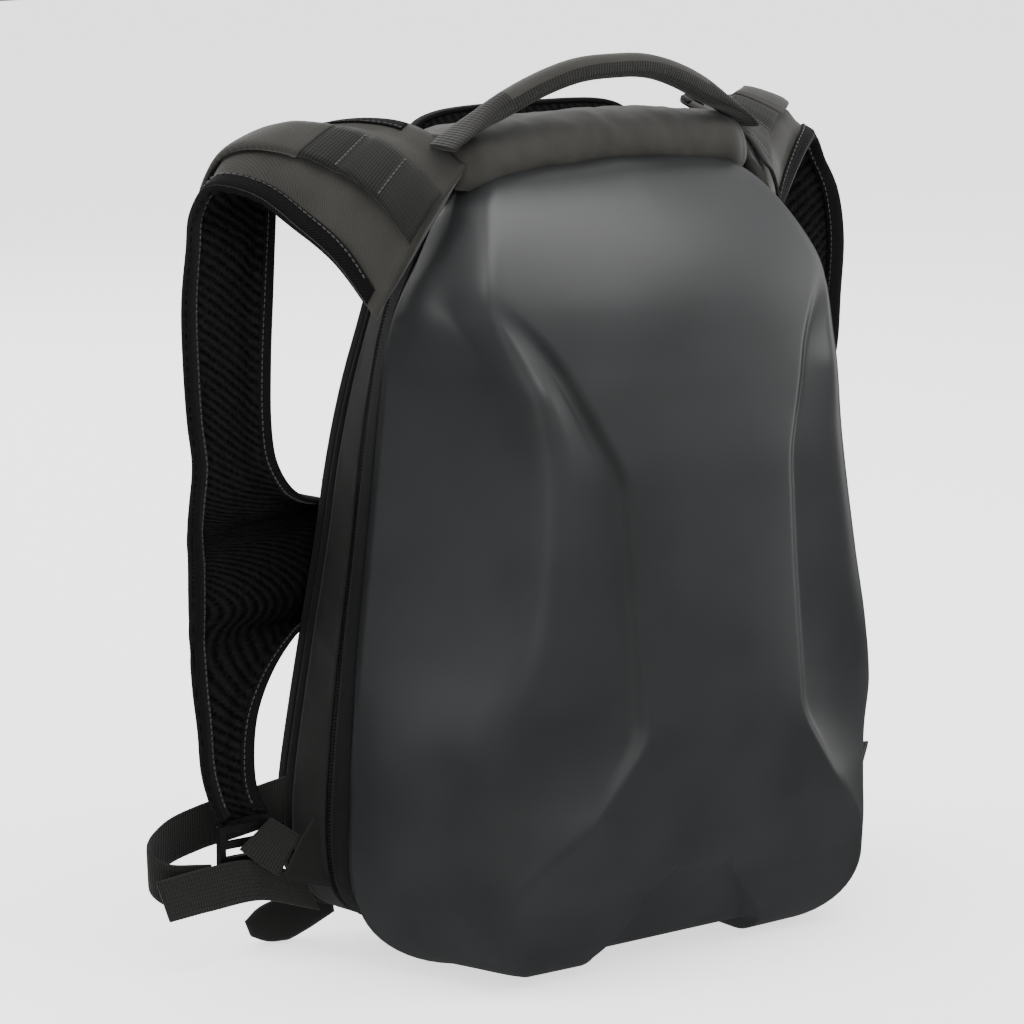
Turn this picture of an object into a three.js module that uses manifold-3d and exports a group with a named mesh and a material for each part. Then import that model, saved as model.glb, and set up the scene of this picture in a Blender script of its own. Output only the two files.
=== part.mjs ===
// Hard shell backpack, in millimetres, +Z up. The shell faces -Y and the wearer's back is at +Y.
// X = 0 is the plane of symmetry, Y = 0 the plane of the shell's rim, Z = 0 the surface it stands on.
// Left-hand pieces are mirror images of the right-hand ones.

import * as THREE from 'three';
import { mergeVertices } from 'three/addons/utils/BufferGeometryUtils.js';
import Module from 'manifold-3d';

const wasm = await Module();
wasm.setup();

// Driving dimensions of the shell
const shellHeight = 446;
const shellHalfWidth = 163;
const shellDepth = 138;
const shellWall = 3;
const deckRise = 9;
const creaseWidth = 5;
const soleBack = 28;
const soleInset = 0.66;
const soleLip = 2;
const soleLipInset = 0.96;

// The recess in the middle of the shell's lower edge
const recessTopHalf = 24;
const recessFootHalf = 58;
const recessTop = 57;
const recessFoot = 10;
const recessTopDepth = 12;
const recessFootShare = 0.83;

// Driving dimensions of the fabric body behind the rim
const clearance = 0.3;
const seatGap = 0.8;
const meshTolerance = 0.02;
const bandWidth = 15.4;
const bandThickness = 2.5;
const zipWidth = 4;
const zipThickness = 3.4;
const gussetWidth = 27.4;
const gussetThickness = 2;
const pipingWidth = 6;
const pipingThickness = 5;
const pipingProud = 1.5;
const backThickness = 11;
const backFaceInset = 22;
const backRise = 8;
const backSideShare = 0.35;
const backShoulderShare = 0.4;
const backShoulderDrop = 2;
const bodyLift = 16;
const bindingWidth = 4;
const bindingThickness = 2;

// Driving dimensions of the yoke, the handle and the harness
const yokeHalfWidth = 96;
const yokeHeight = 26;
const yokeBack = 46;
const yokeDroop = 4;
const handleDiameter = 13;
const handleHalfSpan = 101;
const handleRise = 51;
const handleFoot = 9;
const handleLean = 17;
const strapThickness = 12;
const strapEdge = 5;
const strapCrown = 6;
const strapStandOff = 14;
const webWidth = 26;
const webThickness = 2;
const tabThickness = 2.4;
const flapThickness = 9;

// Driving dimensions of the plastic fittings
const ladderWidth = 34;
const ladderHeight = 22;
const ladderThickness = 4;
const ladderBar = 4;
const buckleWidth = 46;
const buckleHeight = 34;
const buckleThickness = 11;
const sliderWidth = 18;
const sliderHeight = 15;
const sliderDepth = 9;

// Places behind the rim plane, each from the sizes before it
const bandFront = clearance;
const zipFront = bandFront + bandWidth + clearance;
const gussetFront = zipFront + zipWidth + clearance;
const pipingFront = gussetFront + gussetWidth + clearance;
const backFront = pipingFront + pipingWidth + clearance;
const backFace = backFront + backThickness;
const strapPlane = backFace + strapStandOff;

// Colours, roughness and metalness of the finishes
const FINISH = {
  shell: { color: '#37393b', roughness: 0.5, metalness: 0 },
  cloth: { color: '#43423d', roughness: 0.85, metalness: 0 },
  lining: { color: '#1b1b1b', roughness: 0.9, metalness: 0 },
  webbing: { color: '#2f2f2d', roughness: 0.8, metalness: 0 },
  tape: { color: '#141414', roughness: 0.85, metalness: 0 },
  plastic: { color: '#101010', roughness: 0.4, metalness: 0 },
};

// Outline of the rim and of the back edge, from the top down to the bottom.
// at is a share of shellHeight; rim and back are shares of shellHalfWidth.
const OUTLINE = [
  { at: 1.000, rim: 0.000, back: 0.000 },
  { at: 0.999, rim: 0.307, back: 0.282 },
  { at: 0.993, rim: 0.429, back: 0.405 },
  { at: 0.980, rim: 0.515, back: 0.479 },
  { at: 0.939, rim: 0.607, back: 0.552 },
  { at: 0.899, rim: 0.687, back: 0.595 },
  { at: 0.852, rim: 0.761, back: 0.632 },
  { at: 0.803, rim: 0.822, back: 0.675 },
  { at: 0.717, rim: 0.859, back: 0.761 },
  { at: 0.619, rim: 0.890, back: 0.828 },
  { at: 0.520, rim: 0.920, back: 0.871 },
  { at: 0.408, rim: 0.957, back: 0.939 },
  { at: 0.294, rim: 0.982, back: 1.000 },
  { at: 0.217, rim: 0.994, back: 1.037 },
  { at: 0.155, rim: 1.000, back: 1.043 },
  { at: 0.101, rim: 0.988, back: 1.012 },
  { at: 0.072, rim: 0.945, back: 0.963 },
  { at: 0.052, rim: 0.877, back: 0.896 },
  { at: 0.045, rim: 0.736, back: 0.748 },
  { at: 0.045, rim: 0.368, back: 0.368 },
  { at: 0.045, rim: 0.000, back: 0.000 },
];
const TOP_CORNER_ROW = 4;
const BOTTOM_CORNER_ROW = 17;
const TOP_CORNER = OUTLINE[TOP_CORNER_ROW];
const BOTTOM_CORNER = OUTLINE[BOTTOM_CORNER_ROW];

// Level sections of the shell. at is a share of shellHeight; bulge, crestX, round and edgeX are
// shares of shellHalfWidth; crestY, edgeY, step and midY are shares of shellDepth.
// The wall swells by bulge on its way from the rim to the soft crest. A facet then runs to the foot
// of the crease, and the raised middle panel starts at the edge, one step further forward.
const SECTIONS = [
  {
    at: 0.919, bulge: 0.031, crestX: 0.718, crestY: 0.449, round: 0.147,
    edgeX: 0.663, edgeY: 0.478, step: 0.000, midY: 0.601,
  },
  {
    at: 0.895, bulge: 0.031, crestX: 0.742, crestY: 0.478, round: 0.147,
    edgeX: 0.693, edgeY: 0.507, step: 0.000, midY: 0.630,
  },
  {
    at: 0.861, bulge: 0.025, crestX: 0.755, crestY: 0.514, round: 0.135,
    edgeX: 0.675, edgeY: 0.558, step: 0.011, midY: 0.667,
  },
  {
    at: 0.818, bulge: 0.018, crestX: 0.742, crestY: 0.580, round: 0.123,
    edgeX: 0.583, edgeY: 0.630, step: 0.025, midY: 0.710,
  },
  {
    at: 0.774, bulge: 0.006, crestX: 0.699, crestY: 0.674, round: 0.104,
    edgeX: 0.509, edgeY: 0.688, step: 0.040, midY: 0.754,
  },
  {
    at: 0.735, bulge: 0.000, crestX: 0.663, crestY: 0.746, round: 0.086,
    edgeX: 0.466, edgeY: 0.739, step: 0.043, midY: 0.790,
  },
  {
    at: 0.641, bulge: -0.012, crestX: 0.644, crestY: 0.804, round: 0.074,
    edgeX: 0.350, edgeY: 0.841, step: 0.051, midY: 0.870,
  },
  {
    at: 0.504, bulge: -0.018, crestX: 0.687, crestY: 0.833, round: 0.074,
    edgeX: 0.337, edgeY: 0.891, step: 0.051, midY: 0.935,
  },
  {
    at: 0.408, bulge: -0.012, crestX: 0.755, crestY: 0.819, round: 0.086,
    edgeX: 0.337, edgeY: 0.928, step: 0.051, midY: 0.978,
  },
  {
    at: 0.318, bulge: 0.012, crestX: 0.859, crestY: 0.725, round: 0.110,
    edgeX: 0.337, edgeY: 0.964, step: 0.051, midY: 1.000,
  },
  {
    at: 0.260, bulge: 0.025, crestX: 0.871, crestY: 0.688, round: 0.135,
    edgeX: 0.448, edgeY: 0.935, step: 0.043, midY: 0.964,
  },
  {
    at: 0.204, bulge: 0.031, crestX: 0.853, crestY: 0.688, round: 0.135,
    edgeX: 0.558, edgeY: 0.906, step: 0.036, midY: 0.920,
  },
  {
    at: 0.139, bulge: 0.018, crestX: 0.834, crestY: 0.681, round: 0.135,
    edgeX: 0.730, edgeY: 0.775, step: 0.022, midY: 0.826,
  },
  {
    at: 0.101, bulge: 0.006, crestX: 0.822, crestY: 0.667, round: 0.123,
    edgeX: 0.748, edgeY: 0.732, step: 0.000, midY: 0.754,
  },
];
const TOP_SECTION = SECTIONS[0].at;
const LOW_SECTION = SECTIONS[SECTIONS.length - 1].at;
const EXTRA_LEVELS = [0.688, 0.572, 0.456, 0.363, 0.289, 0.171];

// Rounding of the shell under its lowest section: how far in, and how high, as shares.
const UNDERSIDE = [
  { inward: 0.12, height: 0.67 },
  { inward: 0.38, height: 0.47 },
  { inward: 0.69, height: 0.22 },
  { inward: 1.00, height: 0.00 },
];
const DECK_STEPS = [0.2, 0.4, 0.6, 0.8];

// Where a section has points: on its wall, from the rim on, and on the middle panel, from the edge in.
const WALL_STEPS = [0.3, 0.6, 0.82];
const PANEL_STEPS = [0.66, 0.33, 0];
const FACET_LIMIT = 0.45;

// The two handles of the curve over the deck: across is the share of the way to the rim in x,
// depth the share of the section's depth, and rise the share of the deck's own rise.
const DECK_FIRST = { across: 0.05, depth: 0.97, rise: 0.3 };
const DECK_SECOND = { across: 0.6, depth: 0.62, rise: 1 };

// Cross sections of a strap, from its root on the shell's upper corner to its lower end.
// outer and inner are its two edges: [share of shellHalfWidth, of strapPlane, of shellHeight].
const STRAP = [
  { outer: [0.847, 0.063, 0.816], inner: [0.607, -0.227, 1.013] },
  { outer: [0.969, 0.202, 0.888], inner: [0.613, 0.126, 1.036] },
  { outer: [1.086, 0.328, 0.930], inner: [0.632, 0.454, 1.047] },
  { outer: [1.190, 0.429, 0.964], inner: [0.712, 0.656, 1.047] },
  { outer: [1.270, 0.530, 0.978], inner: [0.810, 0.757, 1.040] },
  { outer: [1.331, 0.631, 0.978], inner: [0.914, 0.858, 1.016] },
  { outer: [1.387, 0.668, 0.946], inner: [0.982, 0.883, 0.978] },
  { outer: [1.423, 0.605, 0.904], inner: [1.025, 0.782, 0.930] },
  { outer: [1.448, 0.593, 0.843], inner: [1.074, 0.668, 0.848] },
  { outer: [1.442, 0.605, 0.762], inner: [1.098, 0.631, 0.758] },
  { outer: [1.429, 0.605, 0.695], inner: [1.098, 0.631, 0.677] },
  { outer: [1.405, 0.631, 0.639], inner: [1.080, 0.631, 0.637] },
  { outer: [1.417, 0.631, 0.594], inner: [1.025, 0.668, 0.605] },
  { outer: [1.417, 0.656, 0.565], inner: [0.914, 0.807, 0.578] },
  { outer: [1.411, 0.681, 0.543], inner: [0.718, 0.996, 0.558] },
  { outer: [1.405, 0.694, 0.513], inner: [0.472, 1.021, 0.545] },
  { outer: [1.402, 0.706, 0.484], inner: [0.405, 1.021, 0.484] },
  { outer: [1.402, 0.706, 0.455], inner: [0.472, 1.021, 0.426] },
  { outer: [1.405, 0.694, 0.426], inner: [0.742, 0.996, 0.413] },
  { outer: [1.408, 0.681, 0.395], inner: [0.951, 0.757, 0.406] },
  { outer: [1.408, 0.656, 0.354], inner: [1.092, 0.656, 0.368] },
  { outer: [1.399, 0.631, 0.305], inner: [1.166, 0.631, 0.318] },
  { outer: [1.387, 0.631, 0.251], inner: [1.184, 0.631, 0.265] },
  { outer: [1.356, 0.631, 0.211], inner: [1.172, 0.631, 0.220] },
  { outer: [1.319, 0.631, 0.179], inner: [1.129, 0.631, 0.186] },
];
const WING_ROW = 16;
const END_ROW = STRAP.length - 1;

// The webbing sewn along the top of the strap: where it is along the strap's rows, and the shares
// of the strap's width, from the inner to the outer edge, between which it lies.
const SHOULDER_WEB = [
  { row: 0.12, from: 0.20, to: 0.53 },
  { row: 1, from: 0.24, to: 0.57 },
  { row: 2, from: 0.26, to: 0.61 },
  { row: 3, from: 0.29, to: 0.66 },
  { row: 4, from: 0.32, to: 0.69 },
  { row: 5, from: 0.33, to: 0.70 },
  { row: 6, from: 0.33, to: 0.69 },
  { row: 7, from: 0.33, to: 0.68 },
  { row: 8, from: 0.32, to: 0.68 },
  { row: 9, from: 0.32, to: 0.68 },
];

// Routes of the loose webbing: the middle as [share of shellHalfWidth, of strapPlane, of
// shellHeight], and the direction across it, towards its upper edge.
const LOWER_WEB = [
  { mid: [1.199, 0.562, 0.166], across: [-23, 0, 16] },
  { mid: [1.160, 0.485, 0.152], across: [-18, 0, 20] },
  { mid: [1.110, 0.401, 0.138], across: [-14, 0, 20] },
  { mid: [1.043, 0.315, 0.123], across: [-14, 0, 20] },
];
const TAIL = [
  { mid: [1.018, 0.422, 0.085], across: [8, 2, 18] },
  { mid: [1.080, 0.460, 0.092], across: [8, 2, 18] },
  { mid: [1.202, 0.533, 0.107], across: [8, 0, 25] },
  { mid: [1.399, 0.540, 0.107], across: [5, 0, 27] },
  { mid: [1.577, 0.555, 0.101], across: [10, 0, 29] },
];
const WAIST_WEB = [
  { mid: [0.994, 0.637, 0.202], across: [0, 0, 1] },
  { mid: [1.066, 0.719, 0.193], across: [0, 0, 1] },
  { mid: [1.166, 0.832, 0.179], across: [0, 0, 1] },
  { mid: [1.319, 0.895, 0.168], across: [0, 0, 1] },
  { mid: [1.472, 0.870, 0.155], across: [0, 0, 1] },
  { mid: [1.571, 0.757, 0.135], across: [1, 0, 25] },
  { mid: [1.534, 0.649, 0.117], across: [2, 0, 23] },
  { mid: [1.411, 0.583, 0.110], across: [4, 0, 24] },
  { mid: [1.362, 0.570, 0.108], across: [5, 0, 25] },
];

// The cloth tab in the seam beside the zip and the flap under the lower back corner, by their
// edges: [share of shellHalfWidth, of strapPlane, of shellHeight].
const SIDE_TAB = [
  { outer: [0.982, 0.265, 0.094], inner: [0.994, 0.340, 0.195] },
  { outer: [1.153, 0.353, 0.114], inner: [1.067, 0.366, 0.161] },
];
const HIP_FLAP = [
  { outer: [0.810, 0.757, 0.031], inner: [0.822, 0.757, 0.067] },
  { outer: [0.914, 0.807, 0.011], inner: [0.920, 0.807, 0.065] },
  { outer: [0.982, 0.858, 0.000], inner: [1.018, 0.858, 0.056] },
  { outer: [1.055, 0.889, 0.002], inner: [1.086, 0.883, 0.047] },
  { outer: [1.110, 0.908, 0.011], inner: [1.135, 0.902, 0.031] },
];

// The yoke's cross section: y as a share of yokeBack and z as a share of yokeHeight over the rim.
const YOKE = [
  { y: -0.52, z: -0.30 },
  { y: -0.60, z: 0.25 },
  { y: -0.55, z: 0.62 },
  { y: -0.36, z: 0.88 },
  { y: 0.00, z: 0.99 },
  { y: 0.45, z: 1.00 },
  { y: 0.85, z: 0.99 },
  { y: 1.00, z: 0.88 },
  { y: 1.00, z: -0.30 },
];

// The handle's middle line: x as a share of its half span, rise as a share of its rise.
const HANDLE = [
  { x: -1.00, rise: 0.32 },
  { x: -0.83, rise: 0.50 },
  { x: -0.52, rise: 0.81 },
  { x: -0.25, rise: 0.97 },
  { x: 0.00, rise: 1.00 },
  { x: 0.25, rise: 0.97 },
  { x: 0.52, rise: 0.81 },
  { x: 0.83, rise: 0.50 },
  { x: 1.00, rise: 0.32 },
];

const V = (x, y, z) => new THREE.Vector3(x, y, z);
const lerp = THREE.MathUtils.lerp;

// A smooth value between the rows of a table, and a straight one for lines that keep their corners.
function readTable(table, key, at, smooth) {
  let i = 0;
  while (i < table.length - 2 && table[i + 1].at > at) i += 1;
  const a = table[i];
  const b = table[i + 1];
  const t = THREE.MathUtils.clamp((at - a.at) / (b.at - a.at || 1), 0, 1);
  if (!smooth) return lerp(a[key], b[key], t);
  const before = table[Math.max(i - 1, 0)];
  const after = table[Math.min(i + 2, table.length - 1)];
  const span = b.at - a.at;
  const slopeA = (b[key] - before[key]) / (b.at - before.at) * span;
  const slopeB = (after[key] - a[key]) / (after.at - a.at) * span;
  const t2 = t * t;
  const t3 = t2 * t;
  return (2 * t3 - 3 * t2 + 1) * a[key] + (t3 - 2 * t2 + t) * slopeA
    + (3 * t2 - 2 * t3) * b[key] + (t3 - t2) * slopeB;
}

// A closed surface over rings of equal length, capped with fans or closed into a loop.
function skin(rings, loop = false) {
  const n = rings[0].length;
  const points = rings.flat();
  const faces = [];
  const last = loop ? rings.length : rings.length - 1;
  for (let i = 0; i < last; i += 1) {
    const a = i * n;
    const b = ((i + 1) % rings.length) * n;
    for (let j = 0; j < n; j += 1) {
      const k = (j + 1) % n;
      faces.push([a + j, a + k, b + k], [a + j, b + k, b + j]);
    }
  }
  if (!loop) {
    for (const [ring, flip] of [[0, true], [rings.length - 1, false]]) {
      const centre = V(0, 0, 0);
      rings[ring].forEach((p) => centre.addScaledVector(p, 1 / n));
      points.push(centre);
      for (let j = 0; j < n; j += 1) {
        const a = ring * n + j;
        const b = ring * n + (j + 1) % n;
        faces.push(flip ? [b, a, points.length - 1] : [a, b, points.length - 1]);
      }
    }
  }
  return solid(points, faces);
}

// A solid from points and faces, turned inside out if its volume comes out negative.
function solid(points, faces) {
  let volume = 0;
  for (const [a, b, c] of faces) {
    volume += points[a].dot(V(0, 0, 0).crossVectors(points[b], points[c])) / 6;
  }
  const turned = volume < 0 ? faces.map(([a, b, c]) => [a, c, b]) : faces;
  const geometry = new THREE.BufferGeometry();
  const places = points.flatMap((p) => [p.x, p.y, p.z]);
  geometry.setAttribute('position', new THREE.Float32BufferAttribute(places, 3));
  geometry.setIndex(turned.flat());
  return toManifold(geometry);
}

function toManifold(geometry) {
  const bare = geometry.clone();
  bare.deleteAttribute('normal');
  bare.deleteAttribute('uv');
  const merged = mergeVertices(bare, 1e-4);
  return new wasm.Manifold(new wasm.Mesh({
    numProp: 3,
    vertProperties: new Float32Array(merged.attributes.position.array),
    triVerts: new Uint32Array(merged.index.array),
  }));
}

// The piece that is left when small offcuts are dropped.
function mainBody(body) {
  return body.decompose().sort((a, b) => b.volume() - a.volume())[0];
}

// Half the outline at depth y, between the rim's shape and the back edge's, from top to bottom.
function halfOutline(y) {
  const share = THREE.MathUtils.clamp(y / backFront, 0, 1);
  return OUTLINE.map((row) => {
    const lift = bodyLift * share * THREE.MathUtils.smoothstep(row.at, TOP_CORNER.at - 0.1, 1);
    return [lerp(row.rim, row.back, share) * shellHalfWidth, row.at * shellHeight + lift];
  });
}

// The closed outline at depth y; grow moves it outward and raise lifts its upper end.
function outlineLoop(y, grow = 0, raise = 0) {
  const half = halfOutline(y);
  const left = half.slice(1, -1).reverse().map(([x, z]) => [-x, z]);
  const loop = [...half, ...left];
  return loop.map(([x, z], i) => {
    const before = loop[(i + loop.length - 1) % loop.length];
    const after = loop[(i + 1) % loop.length];
    const out = V(-(after[1] - before[1]), 0, after[0] - before[0]).normalize();
    const top = raise * THREE.MathUtils.smoothstep(z, TOP_CORNER.at * shellHeight, shellHeight);
    return V(x + out.x * grow, y, z + out.z * grow + top);
  });
}

// A hoop of even thickness along the outline, from the front depth to the back depth.
function hoop(front, back, thickness, proud = 0, steps = 1) {
  const sections = [];
  for (let i = 0; i <= steps; i += 1) sections.push(lerp(front, back, i / steps));
  const outer = sections.map((y) => outlineLoop(y, proud));
  const inner = sections.map((y) => outlineLoop(y, proud - thickness)).reverse();
  const around = outer[0].map((_, i) => [...outer, ...inner].map((loop) => loop[i]));
  return skin(around, true);
}

// One half of a level section of the shell, from the rim to the middle.
function halfSection(at) {
  const row = {};
  for (const key of ['bulge', 'crestX', 'crestY', 'round', 'step', 'midY']) {
    row[key] = readTable(SECTIONS, key, at, true);
  }
  row.edgeX = readTable(SECTIONS, 'edgeX', at, false);
  row.edgeY = readTable(SECTIONS, 'edgeY', at, false);
  const z = at * shellHeight;
  const rim = V(readTable(OUTLINE, 'rim', at, true) * shellHalfWidth, 0, z);
  const crest = V(row.crestX * shellHalfWidth, -row.crestY * shellDepth, z);
  const foot = V(row.edgeX * shellHalfWidth + creaseWidth, (row.step - row.edgeY) * shellDepth, z);
  const edge = V(row.edgeX * shellHalfWidth, -row.edgeY * shellDepth, z);
  const round = row.round * shellHalfWidth;
  const facet = Math.min(round, crest.distanceTo(foot) * FACET_LIMIT);
  const wallEnd = crest.clone().lerp(rim, round / crest.distanceTo(rim));
  const facetStart = crest.clone().lerp(foot, facet / crest.distanceTo(foot));
  const points = [rim];
  for (const t of WALL_STEPS) {
    const p = rim.clone().lerp(wallEnd, t);
    p.x += row.bulge * shellHalfWidth * Math.sin(Math.PI * t);
    points.push(p);
  }
  points.push(wallEnd);
  const nose = wallEnd.clone().lerp(facetStart, 0.5).lerp(crest, 0.5);
  points.push(nose, facetStart, facetStart.clone().lerp(foot, 0.5), foot, edge);
  for (const t of PANEL_STEPS) {
    const swell = lerp(-row.midY * shellDepth, edge.y, t * t);
    points.push(V(edge.x * t, swell, z));
  }
  return points;
}

// A point on the rim's outline at a share of the way from a corner to the middle of the end.
function rimEnd(corner, share) {
  const half = halfOutline(0);
  const top = corner === TOP_CORNER;
  const span = top ? half.slice(0, TOP_CORNER_ROW + 1) : half.slice(BOTTOM_CORNER_ROW).reverse();
  const x = corner.rim * shellHalfWidth * (1 - share);
  let i = 0;
  while (i < span.length - 2 && span[i + 1][0] < x) i += 1;
  const t = (x - span[i][0]) / (span[i + 1][0] - span[i][0] || 1);
  return V(x, 0, lerp(span[i][1], span[i + 1][1], THREE.MathUtils.clamp(t, 0, 1)));
}

// A point on the side of the rim.
function rimSide(at) {
  return V(readTable(OUTLINE, 'rim', at, true) * shellHalfWidth, 0, at * shellHeight);
}

// The shell's outer surface as a grid: rows from the top of the rim, over the deck, down the
// sections and back under to the bottom of the rim; columns from the left rim to the right.
function shellGrid() {
  const levels = [...SECTIONS.map((row) => row.at), ...EXTRA_LEVELS].sort((a, b) => b - a);
  const body = levels.map(halfSection);
  const top = body[0];
  const low = body[body.length - 1];
  const shares = (line) => {
    const run = [0];
    for (let i = 1; i < line.length; i += 1) run.push(run[i - 1] + line[i].distanceTo(line[i - 1]));
    return run.map((length) => length / run[run.length - 1]);
  };
  const topShare = shares(top);
  const lowShare = shares(low);
  const deckEnd = top.map((_, j) => rimEnd(TOP_CORNER, topShare[j]));
  const deck = DECK_STEPS.map((t) => top.map((start, j) => {
    if (j === 0) return rimSide(lerp(TOP_CORNER.at, TOP_SECTION, t));
    const end = deckEnd[j];
    const [first, second] = [DECK_FIRST, DECK_SECOND].map((handle) => V(
      lerp(start.x, end.x, handle.across),
      start.y * handle.depth,
      end.z + deckRise * topShare[j] * handle.rise,
    ));
    return new THREE.CubicBezierCurve3(end, second, first, start).getPoint(t);
  }));
  const sole = low.map((p) => V(p.x * soleInset, Math.min(p.y * soleInset, -soleBack - soleLip), 0));
  const under = UNDERSIDE.map((step, k) => low.map((start, j) => {
    if (j === 0) return rimSide(lerp(LOW_SECTION, BOTTOM_CORNER.at, (k + 1) / (UNDERSIDE.length + 2)));
    const p = start.clone().lerp(sole[j], step.inward);
    p.z = step.height * low[0].z;
    return p;
  }));
  const soleEdge = sole.map((p, j) => {
    if (j > 0) return V(p.x * soleLipInset, -soleBack, 0);
    return rimSide(lerp(LOW_SECTION, BOTTOM_CORNER.at, (UNDERSIDE.length + 1) / (UNDERSIDE.length + 2)));
  });
  const bottomEnd = low.map((_, j) => rimEnd(BOTTOM_CORNER, lowShare[j]));
  const rows = [deckEnd, ...deck, ...body, ...under, soleEdge, bottomEnd];
  return rows.map((row) => [
    ...row.map((p) => V(-p.x, p.y, p.z)),
    ...row.slice(0, -1).reverse(),
  ]);
}

// The shell's outer volume, made larger by grow on every side, or smaller where grow is negative.
function shellVolume(grow) {
  const grid = shellGrid();
  const endY = grow < 0 ? 1 : Math.min(grow, clearance / 2);
  const scale = V(1 + grow / shellHalfWidth, 1 + grow / shellDepth, 1 + 2 * grow / shellHeight);
  const points = grid.map((row, i) => row.map((p, j) => {
    const onRim = i === 0 || j === 0 || i === grid.length - 1 || j === row.length - 1;
    const z = shellHeight / 2 + (p.z - shellHeight / 2) * scale.z;
    return V(p.x * scale.x, onRim ? endY : p.y * scale.y, z);
  }));
  const rows = points.length;
  const columns = points[0].length;
  const flat = points.flat();
  const faces = [];
  for (let i = 0; i < rows - 1; i += 1) {
    for (let j = 0; j < columns - 1; j += 1) {
      const a = i * columns + j;
      faces.push([a, a + 1, a + columns + 1], [a, a + columns + 1, a + columns]);
    }
  }
  const rim = [];
  for (let j = 0; j < columns - 1; j += 1) rim.push(j);
  for (let i = 0; i < rows - 1; i += 1) rim.push(i * columns + columns - 1);
  for (let j = columns - 1; j > 0; j -= 1) rim.push((rows - 1) * columns + j);
  for (let i = rows - 1; i > 0; i -= 1) rim.push(i * columns);
  flat.push(V(0, endY, shellHeight / 2));
  rim.forEach((a, i) => faces.push([rim[(i + 1) % rim.length], a, flat.length - 1]));
  return solid(flat, faces);
}

// The recess in the lower edge and the arch between the two feet, as a cutter.
function recessCutter(grow) {
  const foot = readTable(SECTIONS, 'midY', recessTop / shellHeight, true) * shellDepth;
  const base = -shellDepth * SECTIONS[SECTIONS.length - 1].midY;
  const ring = (half, back, z) => [
    V(-half, -2 * shellDepth, z), V(half, -2 * shellDepth, z), V(half, back, z), V(-half, back, z),
  ];
  const recess = skin([
    ring(recessFootHalf + grow, base * recessFootShare + grow, recessFoot + grow),
    ring(recessTopHalf + grow, -foot + recessTopDepth + grow, recessTop + grow),
  ]);
  const footArch = skin([
    ring(recessFootHalf + grow, shellDepth / 4, -shellDepth),
    ring(recessFootHalf + grow, shellDepth / 4, recessFoot + grow),
  ]);
  return recess.add(footArch);
}

// The whole pack behind and around the shell, grown by a gap, to trim what is seated on it.
function packVolume(grow) {
  const middle = gussetFront + gussetWidth / 2;
  const depths = [-bandThickness, 0, zipFront, gussetFront, middle, pipingFront, backFront, backFace];
  const body = skin(depths.map((y) => outlineLoop(y, grow)));
  return shellVolume(grow).add(body);
}

// A point from its shares of the shell's half width, the straps' plane and the shell's height.
function place([x, y, z]) {
  return V(x * shellHalfWidth, y * strapPlane, z * shellHeight);
}

// Two edge curves through the rows of a strip, as functions of the row number.
function edgesOf(rows) {
  const last = rows.length - 1;
  const outer = new THREE.CatmullRomCurve3(rows.map((row) => row.outer), false, 'centripetal');
  const inner = new THREE.CatmullRomCurve3(rows.map((row) => row.inner), false, 'centripetal');
  return (row) => ({ outer: outer.getPoint(row / last), inner: inner.getPoint(row / last), last });
}

// A point of a strip: row along it, share from the inner to the outer edge, height over its middle.
function stripPoint(edges, row, share, height) {
  const here = edges(row);
  const step = 0.05;
  const ahead = edges(Math.min(row + step, here.last));
  const behind = edges(Math.max(row - step, 0));
  const across = here.outer.clone().sub(here.inner);
  const along = ahead.outer.add(ahead.inner).sub(behind.outer).sub(behind.inner);
  const normal = V(0, 0, 0).crossVectors(along, across).normalize();
  return here.inner.clone().addScaledVector(across, share).addScaledVector(normal, height);
}

// A strip along its rows: half(share) is half its thickness and crown(share) how far it arches.
function strip(rows, parts, half, crown, stations, grow = 0) {
  const edges = edgesOf(rows.map((row) => {
    const out = row.outer.clone().sub(row.inner).normalize().multiplyScalar(grow);
    return { outer: row.outer.clone().add(out), inner: row.inner.clone().sub(out) };
  }));
  const last = rows.length - 1;
  const rings = [];
  for (let i = 0; i <= stations; i += 1) {
    const row = last * i / stations;
    const top = [];
    const under = [];
    for (let k = 0; k <= parts; k += 1) {
      const share = k / parts;
      top.push(stripPoint(edges, row, share, crown(share) + half(share)));
      under.unshift(stripPoint(edges, row, share, crown(share) - half(share)));
    }
    rings.push([...top, ...under]);
  }
  return skin(rings);
}

const archOf = (share) => 1 - (2 * share - 1) ** 2;
const edgeRows = (table) => table.map((row) => ({ outer: place(row.outer), inner: place(row.inner) }));
const strapRows = edgeRows(STRAP);
const strapHalf = (share) => strapEdge / 2 + (strapThickness - strapEdge) / 2 * archOf(share);
const strapArch = (share) => -strapCrown * archOf(share);

function strapSolid(grow) {
  return strip(strapRows, 4, (share) => strapHalf(share) + grow, strapArch, 2 * END_ROW, grow);
}

function flatStrip(rows, thickness, stations, parts = 1) {
  return strip(rows, parts, () => thickness / 2, () => 0, stations);
}

// Webbing of one width along a route of middles.
function webbing(route, stations) {
  const rows = route.map((row) => {
    const mid = place(row.mid);
    const across = V(...row.across).normalize().multiplyScalar(webWidth / 2);
    return { outer: mid.clone().sub(across), inner: mid.clone().add(across) };
  });
  return flatStrip(rows, webThickness, stations);
}

// The webbing that lies on the strap, one gap above its outer face.
function shoulderWebbing() {
  const edges = edgesOf(strapRows);
  const rings = SHOULDER_WEB.map((row) => {
    const top = [];
    const under = [];
    for (let k = 0; k <= 3; k += 1) {
      const share = lerp(row.from, row.to, k / 3);
      const lift = strapArch(share) - strapHalf(share) - seatGap;
      top.push(stripPoint(edges, row.row, share, lift));
      under.unshift(stripPoint(edges, row.row, share, lift - webThickness));
    }
    return [...top, ...under];
  });
  return skin(rings);
}

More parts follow.
